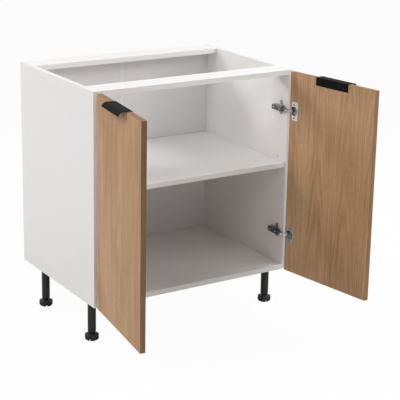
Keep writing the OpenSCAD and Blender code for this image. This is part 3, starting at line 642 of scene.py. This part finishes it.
def fluted_beech():
    """Beech dowels with fine flecks."""
    finish = Finish("beech_dowels")
    point = finish.place()
    drawn = finish.vector("MULTIPLY", point, (0.08, 1.0, 1.0))
    fleck = finish.noise(drawn, 900.0, 3.0, 0.6, 3.3)
    colour = finish.ramp(fleck, (0.35, paint(176, 134, 92)), (0.65, paint(214, 178, 134)))
    finish.bump(fleck, 0.0001, 0.4)
    return finish.surface(colour, 0.6, specular=0.3)


def door_frame(side):
    """The hinge corner of an open door, and the turn of its width about Z."""
    corner = Vector((side * (CARCASS_W / 2 - OPEN_IN), FRONT_Y - OPEN_OUT, 0.0))
    turn = OPEN_ANGLE if side > 0 else math.pi - OPEN_ANGLE
    return corner, turn


WHITE_BAND = edge_band_white()
HARDBOARD = hardboard()
WHITE_STRIP = white_strip()
BLACK_PLASTIC = moulded_black()
BLACK_METAL = painted_black()
# The shaded and the darker nickel are darker copies of the bright nickel: painted shade and painted
# dark reflections on the arms, cup screws, inner links and cup bowls
NICKEL = metal("bright_nickel", paint(212, 212, 214), paint(234, 234, 235), 0.28, 0.38)
SHADED_NICKEL = metal("shaded_nickel", paint(96, 96, 98), paint(128, 128, 130), 0.24, 0.34)
NICKEL_WITH_PAINTED_SHADE = metal("dull_nickel", paint(138, 138, 140), paint(176, 176, 178), 0.26, 0.40)
ZINC = metal("cast_zinc", paint(150, 151, 154), paint(182, 183, 186), 0.34, 0.48)
BLACK_STEEL = metal("blackened_steel", paint(30, 30, 31), paint(44, 44, 45), 0.42, 0.55)
BRIGHT_STEEL = metal("zinc_plated_steel", paint(188, 188, 190), paint(216, 216, 214), 0.22, 0.34)
SPRING_STEEL = metal("spring_steel", paint(110, 112, 118), paint(140, 142, 148), 0.28, 0.38, True)
BEECH = fluted_beech()
OAK, OAK_BAND = {}, {}
for hand, word in SIDES:
    place = door_frame(hand)
    OAK[hand] = oak(f"oak_decor_{word}", *place, **FIGURE[hand])
    band = dict(FIGURE[hand], seed=FIGURE[hand]["seed"] + BAND_SEED, figure_share=BAND_FIGURE)
    # Each door's band gets its own painted shade
    OAK_BAND[hand] = oak(f"oak_band_{word}", *place, **band, shade=BAND_PAINTED_SHADE[hand])


# ---- Shapes that repeat or follow a rule ----

def screw_shape():
    """A screw from its head's face along +Z, with a cross recess and a ringed thread."""
    shape = Shape("screw_shape", (*WOOD_SCREW, "Length"))
    given = shape.given
    head, foot, shank = given["Head radius"], given["Foot radius"], given["Shank radius"]
    tall, length, half_pitch = given["Head height"], given["Length"], given["Thread pitch"]
    half_pitch = shape.math("MULTIPLY", half_pitch, 0.5)
    turns = shape.math("DIVIDE", shape.math("SUBTRACT", length, tall), half_pitch)
    rows = shape.math("ADD", shape.math("FLOOR", turns), 8.0)
    sheet, row, angle = shape.wrapped(rows, 24)
    # The recess is a cross: deep and wide at four angles, narrow between them
    cross = shape.math("ABSOLUTE", shape.math("COSINE", shape.math("MULTIPLY", angle, 2.0)))
    cross = shape.math("MULTIPLY_ADD", shape.math("GREATER_THAN", cross, 0.8), 0.62, 0.38)
    rim = shape.math("MULTIPLY", cross, given["Recess radius"])
    bottom = shape.math("MULTIPLY", rim, 0.8)
    past = shape.math("MAXIMUM", shape.math("SUBTRACT", row, 6.0), 0.0)
    groove = shape.math("MODULO", past, 2.0)
    thread = shape.math("MULTIPLY", groove, given["Thread depth"])
    thread = shape.math("SUBTRACT", shank, thread)
    left = shape.math("SUBTRACT", shape.math("SUBTRACT", rows, 1.0), row)
    point = shape.math("MINIMUM", shape.math("DIVIDE", left, given["Point rows"]), 1.0)
    thread = shape.math("MULTIPLY", thread, point)
    down = shape.math("MULTIPLY_ADD", past, half_pitch, tall)
    down = shape.math("MINIMUM", down, length)
    deep = given["Recess depth"]
    radius = shape.by_row(
        row, 0.0, bottom, rim, shape.math("MULTIPLY", head, 0.95), head, foot, shank, thread
    )
    height = shape.by_row(
        row, deep, shape.math("MULTIPLY", deep, 0.8), 0.0, 0.0,
        shape.math("MULTIPLY", tall, 0.08), tall, tall, down,
    )
    screw = shape.turned(sheet, angle, radius, height)
    aim = shape.node("GeometryNodeInputNamedAttribute", data_type="FLOAT_VECTOR")
    aim.inputs["Name"].default_value = "aim"
    facing = shape.node("FunctionNodeAlignRotationToVector", axis="Z")
    shape.link(aim.outputs["Attribute"], facing.inputs["Vector"])
    # Each screw stopped at its own angle when it was driven in
    chance = shape.node("FunctionNodeRandomValue", data_type="FLOAT")
    chance.inputs["Seed"].default_value = 7
    lucky = [socket for socket in chance.outputs if socket.enabled][0]
    spin = shape.node("FunctionNodeAxisAngleToRotation")
    spin.inputs["Axis"].default_value = (0.0, 0.0, 1.0)
    shape.link(shape.math("MULTIPLY", lucky, math.pi), spin.inputs["Angle"])
    both = shape.node("FunctionNodeRotateRotation", rotation_space="LOCAL")
    shape.link(facing.outputs["Rotation"], both.inputs["Rotation"])
    shape.link(spin.outputs["Rotation"], both.inputs["Rotate By"])
    shape.planted(given["Geometry"], screw, both.outputs["Rotation"])
    return shape


def leg_tube_shape():
    """A leg's tube: softly fluted outside, with a tapered lower end and two bores."""
    shape = Shape("leg_tube_shape", (
        "Radius", "Bottom", "Top", "Bevel", "Flutes", "Flute depth",
        "Bore radius", "Socket radius", "Socket bottom",
    ))
    given = shape.given
    outer, low, high, bevel = (given[n] for n in ("Radius", "Bottom", "Top", "Bevel"))
    bore, socket, seat = (given[n] for n in ("Bore radius", "Socket radius", "Socket bottom"))

    def part(share, value, base):
        return shape.math("MULTIPLY_ADD", value, share, base)

    sheet, row, angle = shape.wrapped(14.0, 96)
    waves = shape.math("COSINE", shape.math("MULTIPLY", angle, given["Flutes"]))
    waves = shape.math("MULTIPLY", shape.math("ABSOLUTE", waves), given["Flute depth"])
    fluted = shape.math("SUBTRACT", outer, waves)
    near_top = part(-1.0, bevel, high)
    radius = shape.by_row(
        row, bore, part(-1.3, bevel, outer), part(-1.0, bevel, outer), part(-0.45, bevel, outer),
        part(-0.1, bevel, outer), fluted, fluted, outer, part(-0.2, bevel, outer),
        socket, socket, bore, bore, bore,
    )
    height = shape.by_row(
        row, low, low, part(0.15, bevel, low), part(1.1, bevel, low), part(2.0, bevel, low),
        part(2.8, bevel, low), part(-2.0, bevel, near_top), near_top, high,
        high, seat, seat, shape.math("MULTIPLY", shape.math("ADD", seat, low), 0.5), low,
    )
    tube = shape.turned(sheet, angle, radius, height)
    shape.planted(given["Geometry"], tube)
    return shape


def rib_ring_shape():
    """Stiffening ribs that stand round a leg's socket, under its plate."""
    shape = Shape("rib_ring_shape", (
        "Count", "Inner radius", "Outer radius", "Thickness", "Height",
    ))
    given = shape.given
    inner, outer = given["Inner radius"], given["Outer radius"]
    run = shape.math("SUBTRACT", outer, inner)
    block = shape.node("GeometryNodeMeshCube")
    size = shape.joined(run, given["Thickness"], given["Height"])
    shape.link(size, block.inputs["Size"])
    block.inputs["Vertices X"].default_value = 5
    block.inputs["Vertices Z"].default_value = 3
    # The rib starts at full height and runs out towards the plate's edge in a hollow curve
    x, y, z = shape.axes(shape.node("GeometryNodeInputPosition").outputs[0])
    out = shape.math("ADD", shape.math("DIVIDE", x, run), 0.5)
    fall = shape.math("MULTIPLY", shape.math("SQRT", out, 0.0, 0.0, True), 0.75)
    kept = shape.math("SUBTRACT", 1.0, fall)
    half = shape.math("MULTIPLY", given["Height"], 0.5)
    below = shape.math("MULTIPLY", shape.math("SUBTRACT", half, z), kept)
    bent = shape.node("GeometryNodeSetPosition")
    shape.link(block.outputs["Mesh"], bent.inputs["Geometry"])
    centre = shape.math("ADD", x, shape.math("MULTIPLY_ADD", run, 0.5, inner))
    lowered = shape.math("SUBTRACT", 0.0, below)
    shape.link(shape.joined(centre, y, lowered), bent.inputs["Position"])
    ring = shape.node("GeometryNodeMeshCircle")
    shape.feed(shape.math("ROUND", given["Count"]), ring.inputs["Vertices"])
    ring.inputs["Radius"].default_value = 1e-4
    number = shape.node("GeometryNodeInputIndex").outputs[0]
    angle = shape.math("MULTIPLY", number, 2.0 * math.pi)
    angle = shape.math("DIVIDE", angle, given["Count"])
    spin = shape.node("FunctionNodeAxisAngleToRotation")
    spin.inputs["Axis"].default_value = (0.0, 0.0, 1.0)
    shape.link(angle, spin.inputs["Angle"])
    spread = shape.node("GeometryNodeInstanceOnPoints")
    shape.link(ring.outputs["Mesh"], spread.inputs["Points"])
    shape.link(bent.outputs[0], spread.inputs["Instance"])
    shape.link(spin.outputs["Rotation"], spread.inputs["Rotation"])
    whole = shape.node("GeometryNodeRealizeInstances")
    shape.link(spread.outputs[0], whole.inputs[0])
    shape.planted(given["Geometry"], whole.outputs[0])
    return shape


SCREW = screw_shape()
LEG_TUBE = leg_tube_shape()
RIB_RING = rib_ring_shape()


# ---- Places ----

def beside(side, x, y, z):
    """A point counted from the outside of one side panel and from the front edges."""
    return Vector((side * (CARCASS_W / 2 + x), FRONT_Y + y, z))


def on_door(side, x, y, z):
    """A point on an open door, counted from its hinge edge and its inner face."""
    turned = Matrix.Rotation(OPEN_ANGLE, 3, "Z") @ Vector((x, y, 0.0))
    return beside(side, turned.x - OPEN_IN, turned.y - OPEN_OUT, z)


def into_door(side):
    """The direction from a door's inner face into its board."""
    return on_door(side, 0.0, -1.0, 0.0) - on_door(side, 0.0, 0.0, 0.0)


# ---- Pieces made from the solids ----

def joined_flats(mesh):
    """Joins the faces of a bmesh that lie flat beside each other."""
    bmesh.ops.dissolve_limit(
        mesh, angle_limit=math.radians(0.5), verts=mesh.verts, edges=mesh.edges
    )


def welded(node):
    """A closed copy of a CAD node's mesh, as triangles."""
    copy = bmesh.new()
    copy.from_mesh(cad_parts[node].data)
    bmesh.ops.remove_doubles(copy, verts=copy.verts, dist=WELD)
    return copy


def cleaned(node):
    """A closed copy of a CAD node's mesh, with flat faces joined."""
    copy = welded(node)
    joined_flats(copy)
    return copy


def redrawn(node):
    """A flat part of even height, redrawn as one body from the outline of its top."""
    source = welded(node)
    low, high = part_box(node)
    top = {
        face for face in source.faces
        if face.normal.z > 0.9 and face.calc_center_median().z > high.z - SAME
    }
    outline = bmesh.new()
    corners = {}
    for edge in source.edges:
        if len(top.intersection(edge.link_faces)) != 1:
            continue
        for end in edge.verts:
            if end not in corners:
                corners[end] = outline.verts.new(end.co)
        outline.edges.new([corners[end] for end in edge.verts])
    source.free()
    bmesh.ops.triangle_fill(outline, use_beauty=True, edges=outline.edges, normal=(0, 0, 1))
    drawn = bmesh.ops.extrude_face_region(outline, geom=outline.faces[:])["geom"]
    lowered = [part for part in drawn if isinstance(part, bmesh.types.BMVert)]
    bmesh.ops.translate(outline, verts=lowered, vec=(0.0, 0.0, low.z - high.z))
    bmesh.ops.recalc_face_normals(outline, faces=outline.faces)
    joined_flats(outline)
    return outline


def long_sharp_edges(mesh, shortest, fold=FOLD):
    """The edges of a mesh that are both long and sharp."""
    found = []
    for edge in mesh.edges:
        if len(edge.link_faces) != 2 or edge.calc_length() < shortest:
            continue
        if edge.calc_face_angle(0.0) > fold:
            found.append(edge)
    return found


def placed(data, name, body, nodes=(), smooth=35.0):
    """Turns a mesh into a piece that rides on a body and stands for CAD nodes."""
    data.shade_smooth()
    data.set_sharp_from_angle(angle=math.radians(smooth))
    piece = in_scene(name, data)
    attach(piece, body)
    if nodes:
        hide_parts(*nodes)
    return piece


def as_mesh(mesh, name):
    """Turns a bmesh, which is used up, into a mesh."""
    data = bpy.data.meshes.new(name)
    mesh.to_mesh(data)
    mesh.free()
    return data


def as_piece(mesh, name, body, material, nodes=(), smooth=20.0):
    """Turns a bmesh, which is used up, into a piece of one material."""
    data = as_mesh(mesh, name)
    data.materials.append(material)
    return placed(data, name, body, nodes, smooth)


def round_over(mesh, edges, width, segments=2):
    """Rounds over some edges of a bmesh."""
    bmesh.ops.bevel(
        mesh, geom=edges, offset=width, segments=segments, profile=0.5, affect="EDGES",
        clamp_overlap=True,
    )


def eased(node, name, body, material, width, shortest=BOARD_EDGE):
    """A copy of a CAD node with its long edges rounded over."""
    mesh = cleaned(node)
    round_over(mesh, long_sharp_edges(mesh, shortest, EASED_FOLD), width)
    return as_piece(mesh, name, body, material, [node])


def finish_node(node, material):
    """Gives a CAD node its material."""
    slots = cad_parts[node].data.materials
    slots.clear()
    slots.append(material)


def make_side_board(node, name):
    """A side board, whose skin is a little chipped round each drilled hole."""
    low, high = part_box(node)
    inner_face = CARCASS_W / 2 - BOARD_T
    mesh = cleaned(node)
    rims = []
    for edge in long_sharp_edges(mesh, NEAR):
        on_face = all(abs(abs(end.co.x) - inner_face) < SAME for end in edge.verts)
        if on_face and edge.calc_length() < BORE_EDGE:
            rims.append(edge)
    round_over(mesh, rims, BORE_EASE, 1)
    round_over(mesh, long_sharp_edges(mesh, BOARD_EDGE, BOARD_FOLD), BOARD_EASE)
    material = melamine(f"melamine_{name}", low, high)
    as_piece(mesh, name, "carcass", material, [node])


def make_boards():
    """The carcass boards and the shelf."""
    make_side_board("left_side_panel", "left_side_board")
    make_side_board("right_side_panel", "right_side_board")
    for node, name, body in (
        ("bottom_panel", "bottom_board", "carcass"),
        ("front_rail", "front_rail_board", "carcass"),
        ("rear_rail", "rear_rail_board", "carcass"),
        ("shelf", "shelf_board", "shelf"),
    ):
        low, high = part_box(node)
        material = melamine(f"melamine_{name}", low, high)
        eased(node, name, body, material, BOARD_EASE)
    eased("front_edge_bands", "white_front_bands", "carcass", WHITE_BAND, BAND_EASE)


def make_back():
    """The two back panels and the strip between them."""
    for node in ("back_panel_left", "back_panel_right"):
        finish_node(node, HARDBOARD)
    eased("back_joint_strip", "back_strip", "carcass", WHITE_STRIP, STRIP_EASE)


def make_doors():
    """Each door's board with its edge bands and its handle."""
    for side, word in SIDES:
        body = f"{word}_door"
        eased(body, f"{word}_door_board", body, OAK[side], VENEER_EASE)
        eased(f"{word}_door_edge_bands", f"{word}_door_bands", body, OAK_BAND[side],
              BAND_EASE)
        eased(f"{word}_handle", f"{word}_edge_pull", body, BLACK_METAL,
              HANDLE_EASE, HANDLE_EDGE)


def screwed(name, body, places, aims, kind, length, look, node):
    """A set of like screws, as one piece that stands for a CAD node."""
    data = SCREW.grown(name, places, dict(kind, Length=length), look, aims)
    placed(data, name, body, [node])


def make_screws():
    """Every screw, as a turned shape with a thread. Like screws on a body are one piece."""
    for side, word in SIDES:
        body, node = f"{word}_door", f"{word}_door_screws"
        into = into_door(side)
        places = [on_door(side, -CUP_X, CUP_FACE, z + up * CUP_SCREW_Z)
                  for z in HINGE_Z.values() for up in (-1, 1)]
        screwed(f"{word}_cup_screws", body, places, [into] * len(places),
                WOOD_SCREW, WOOD_SCREW_L, SHADED_NICKEL, node)
        places = [on_door(side, x - DOOR_W / 2, HANDLE_FACE, DOOR_TOP - HANDLE_SCREW_DOWN)
                  for x in (-HANDLE_SCREW_X, HANDLE_SCREW_X)]
        screwed(f"{word}_handle_screws", body, places, [into] * len(places),
                WOOD_SCREW, WOOD_SCREW_L, BLACK_STEEL, node)
    places = [beside(side, x - LEG_SIDE, y + across, LEG_PLATE_Z)
              for side in (LEFT, RIGHT) for y in LEG_ROWS.values()
              for x in LEG_SCREW_X for across in (-LEG_SCREW_Y, LEG_SCREW_Y)]
    screwed("leg_plate_screws", "carcass", places, [UP] * len(places),
            WOOD_SCREW, LEG_SCREW_L, BRIGHT_STEEL, "leg_screws")
    hinges = [(side, z) for side in (LEFT, RIGHT) for z in HINGE_Z.values()]
    # Each hinge has two screws of either kind, driven towards its side panel
    aims = [Vector((side, 0.0, 0.0)) for side, _ in hinges for _ in range(2)]
    places = [beside(side, -PLATE_FACE, PLATE_Y, z + up * PLATE_SCREW_Z)
              for side, z in hinges for up in (-1, 1)]
    arm_places = [beside(side, -ARM_FACE, y, z) for side, z in hinges for y in ARM_SCREW_Y]
    screwed("wing_screws", "carcass", places, aims, WOOD_SCREW, WOOD_SCREW_L,
            BRIGHT_STEEL, "hinge_plate_screws")
    screwed("arm_screws", "carcass", arm_places, aims, ARM_SCREW, ARM_SCREW_L,
            BRIGHT_STEEL, "hinge_plate_screws")


def make_legs():
    """Each leg's plate with its ribs, its tube, and its foot with a threaded stem."""
    for side, word in SIDES:
        for row, y in LEG_ROWS.items():
            leg = f"{row}_{word}"
            middle = beside(side, -LEG_SIDE, y, 0.0)
            eased(f"{leg}_leg_base", f"{leg}_plate", "carcass", BLACK_PLASTIC,
                  MOULDED_EASE, PLATE_EDGE)
            under_plate = middle + Vector((0.0, 0.0, LEG_PLATE_Z))
            data = RIB_RING.grown(f"{leg}_plate_ribs", [under_plate], LEG_RIBS, BLACK_PLASTIC)
            placed(data, f"{leg}_plate_ribs", "carcass", [f"{leg}_leg_base"])
            data = LEG_TUBE.grown(f"{leg}_tube", [middle], TUBE_SIZES, BLACK_PLASTIC)
            placed(data, f"{leg}_tube", "carcass", [f"{leg}_leg_tube"])
            knob = cleaned(f"{leg}_foot")
            halves = bmesh.ops.bisect_plane(
                knob, geom=knob.verts[:] + knob.edges[:] + knob.faces[:], clear_outer=True,
                plane_co=(0.0, 0.0, NECK_TOP - NECK_CUT), plane_no=UP,
            )
            rim = [part for part in halves["geom_cut"] if isinstance(part, bmesh.types.BMEdge)]
            bmesh.ops.holes_fill(knob, edges=rim)
            round_over(knob, long_sharp_edges(knob, KNOB_EDGE, KNOB_FOLD), MOULDED_EASE)
            as_piece(knob, f"{leg}_knob", f"{leg}_foot", BLACK_PLASTIC,
                     [f"{leg}_foot"])
            start = middle + Vector((0.0, 0.0, NECK_TOP - STEM_SUNK))
            screwed(f"{leg}_stem", f"{leg}_foot", [start], [UP], STEM, STEM_L + STEM_SUNK,
                    BLACK_PLASTIC, f"{leg}_foot")


def make_hinge(side, word, level):
    """One concealed hinge: plate, arm, two links and the cup."""
    name = f"{word}_{level}"
    door = f"{word}_door"
    z = HINGE_Z[level]
    eased(f"{name}_hinge_plate", f"{name}_plate", "carcass", ZINC, CAST_EASE, WING_EDGE)
    arm = cleaned(f"{name}_hinge_arm")
    back = CARCASS_W / 2 - ARM_BACK
    sides = []
    for edge in long_sharp_edges(arm, ARM_LONG_EDGE):
        ends = edge.verts
        along = abs(ends[0].co.y - ends[1].co.y) > ARM_LONG_EDGE
        if along and all(abs(abs(end.co.x) - back) < NEAR for end in ends):
            sides.append(edge)
    round_over(arm, sides, ARM_ROUND, 5)
    round_over(arm, long_sharp_edges(arm, ARM_EDGE), PRESSED_EASE)
    as_piece(arm, f"{name}_arm", "carcass", SHADED_NICKEL, [f"{name}_hinge_arm"])
    # The inner link gets the darker nickel, a painted shade, though both links are of one steel
    for part, material, slot in (
        ("outer", NICKEL, "nickel"), ("inner", NICKEL_WITH_PAINTED_SHADE, "nickel"),
    ):
        strap = redrawn(f"{name}_{part}_link")
        round_over(strap, long_sharp_edges(strap, LINK_EDGE), PRESSED_EASE)
        as_piece(strap, f"{name}_{part}_strap", f"{word}_{part}_links", material,
                 [f"{name}_{part}_link"])
    cup = cleaned(f"{name}_hinge_cup")
    centre = on_door(side, -CUP_X, 0.0, z)
    into = into_door(side)
    floor = []
    for edge in long_sharp_edges(cup, BOWL_EDGE):
        depths = [(end.co - centre).dot(into) for end in edge.verts]
        if min(depths) > BOWL_DEEP:
            floor.append(edge)
    round_over(cup, floor, BOWL_EASE, 3)
    # The bowl gets the darker nickel: a painted shade for the bowl's own shadow and the dark
    # reflections in it
    for face in cup.faces:
        if (face.calc_center_median() - centre).dot(into) > NEAR:
            face.material_index = 1
    cup = as_piece(cup, f"{name}_cup", door, NICKEL, [f"{name}_hinge_cup"])
    cup.data.materials.append(NICKEL_WITH_PAINTED_SHADE)


def make_cams():
    """The cams of the board joints, with the crossed slots that a driver turns them by."""
    cams = cleaned("cam_locks")
    slots = bmesh.new()
    faces = [face for face in cams.faces if face.normal.z < -0.9]
    for number, face in enumerate(faces):
        place = Matrix.Translation(face.calc_center_bounds())
        place = place @ Matrix.Rotation(number * CAM_TURN, 4, "Z")
        for length, width in ((CAM_SLOT_L, CAM_SLOT_W), (CAM_SLOT_W, CAM_SLOT_L)):
            size = Matrix.Diagonal((length, width, 2.0 * CAM_SLOT_DEEP, 1.0))
            bmesh.ops.create_cube(slots, size=1.0, matrix=place @ size)
    rims = [edge for face in faces for edge in face.edges]
    round_over(cams, rims, CAST_EASE)
    blanks = in_scene("cam_blanks", as_mesh(cams, "cam_blanks"))
    cutters = in_scene("cam_slots", as_mesh(slots, "cam_slots"))
    blanks.data.materials.append(ZINC)
    cut = blanks.modifiers.new("slots", "BOOLEAN")
    cut.operation = "DIFFERENCE"
    cut.solver = "EXACT"
    cut.use_self = True
    cut.object = cutters
    placed(settled(blanks), "cross_slot_cams", "carcass", ["cam_locks"])
    bpy.data.objects.remove(cutters)


def finish_the_rest():
    """Materials for the CAD nodes that stay as they are."""
    for node, material in (
        ("cam_bolts", BRIGHT_STEEL),
        ("wood_dowels", BEECH),
        ("shelf_pins", BRIGHT_STEEL),
        ("hinge_arm_pins", NICKEL),
        ("hinge_springs", SPRING_STEEL),
        ("left_cup_pins", NICKEL),
        ("right_cup_pins", NICKEL),
    ):
        finish_node(node, material)


# ---- Studio ----

def studio_floor():
    """A pale floor that keeps the cabinet's shadow and is nearly white to the camera."""
    finish = Finish("studio_floor")
    finish.surface(paint(240, 240, 240), 0.8, specular=0.1)
    glow = finish.node("ShaderNodeEmission")
    rays = finish.node("ShaderNodeLightPath")
    share = finish.math("MULTIPLY", rays.outputs["Is Camera Ray"], FLOOR_GLOW)
    finish.mixed_shaders(share, finish.shader, glow, finish.output.inputs["Surface"])
    data = bpy.data.meshes.new("studio_floor")
    corners = [(x * FLOOR_REACH, y * FLOOR_REACH, 0.0)
               for x, y in ((-1, -1), (1, -1), (1, 1), (-1, 1))]
    data.from_pydata(corners, [], [(0, 1, 2, 3)])
    data.materials.append(finish.material)
    in_scene("studio_floor", data)


def studio_sky():
    """Dim light from all round, which the camera and mirrored rays see as white."""
    world = bpy.data.worlds.new("studio_sky")
    world.use_nodes = True
    bpy.context.scene.world = world
    sky = Nodes(world.node_tree)
    dim = sky.tree.nodes["Background"]
    white = sky.node("ShaderNodeBackground")
    for shader, strength in ((dim, SKY_STRENGTH), (white, 1.0)):
        sky.feed((1.0, 1.0, 1.0), shader.inputs["Color"])
        sky.feed(strength, shader.inputs["Strength"])
    rays = sky.node("ShaderNodeLightPath").outputs
    seen = sky.math("MAXIMUM", rays["Is Camera Ray"], rays["Is Glossy Ray"])
    sky.mixed_shaders(seen, dim, white, sky.tree.nodes["World Output"].inputs["Surface"])


def studio_lamps():
    """Round white lamps, each turned towards the middle of the cabinet."""
    for name, place, watts in LAMPS:
        data = bpy.data.lights.new(name, "AREA")
        data.shape = "DISK"
        data.size = LAMP_SIZE
        data.energy = watts
        lamp = in_scene(name, data)
        lamp.location = place
        aim = LAMP_AIM - Vector(place)
        lamp.rotation_mode = "QUATERNION"
        lamp.rotation_quaternion = aim.to_track_quat("-Z", "Y")


def photo_camera():
    """The camera at the photo's place, with its slight roll and shift."""
    ahead = Vector((
        math.sin(CAMERA_AZIMUTH) * math.cos(CAMERA_ELEVATION),
        math.cos(CAMERA_AZIMUTH) * math.cos(CAMERA_ELEVATION),
        -math.sin(CAMERA_ELEVATION),
    ))
    level = Vector((math.cos(CAMERA_AZIMUTH), -math.sin(CAMERA_AZIMUTH), 0.0))
    upright = level.cross(ahead)
    right = math.cos(CAMERA_ROLL) * level + math.sin(CAMERA_ROLL) * upright
    above = math.cos(CAMERA_ROLL) * upright - math.sin(CAMERA_ROLL) * level
    data = bpy.data.cameras.new("photo_camera")
    data.sensor_width = CAMERA_SENSOR
    data.lens = CAMERA_LENS
    data.shift_y = CAMERA_SHIFT
    camera = in_scene("photo_camera", data)
    turn = Matrix((right, above, -ahead)).transposed()
    camera.matrix_world = Matrix.Translation(CAMERA_PLACE) @ turn.to_4x4()
    bpy.context.scene.camera = camera


make_boards()
make_back()
make_doors()
make_screws()
make_legs()
for hand, word in SIDES:
    for level in HINGE_Z:
        make_hinge(hand, word, level)
make_cams()
finish_the_rest()
studio_floor()
studio_sky()
studio_lamps()
photo_camera()
bpy.context.scene.view_settings.view_transform = "Standard"
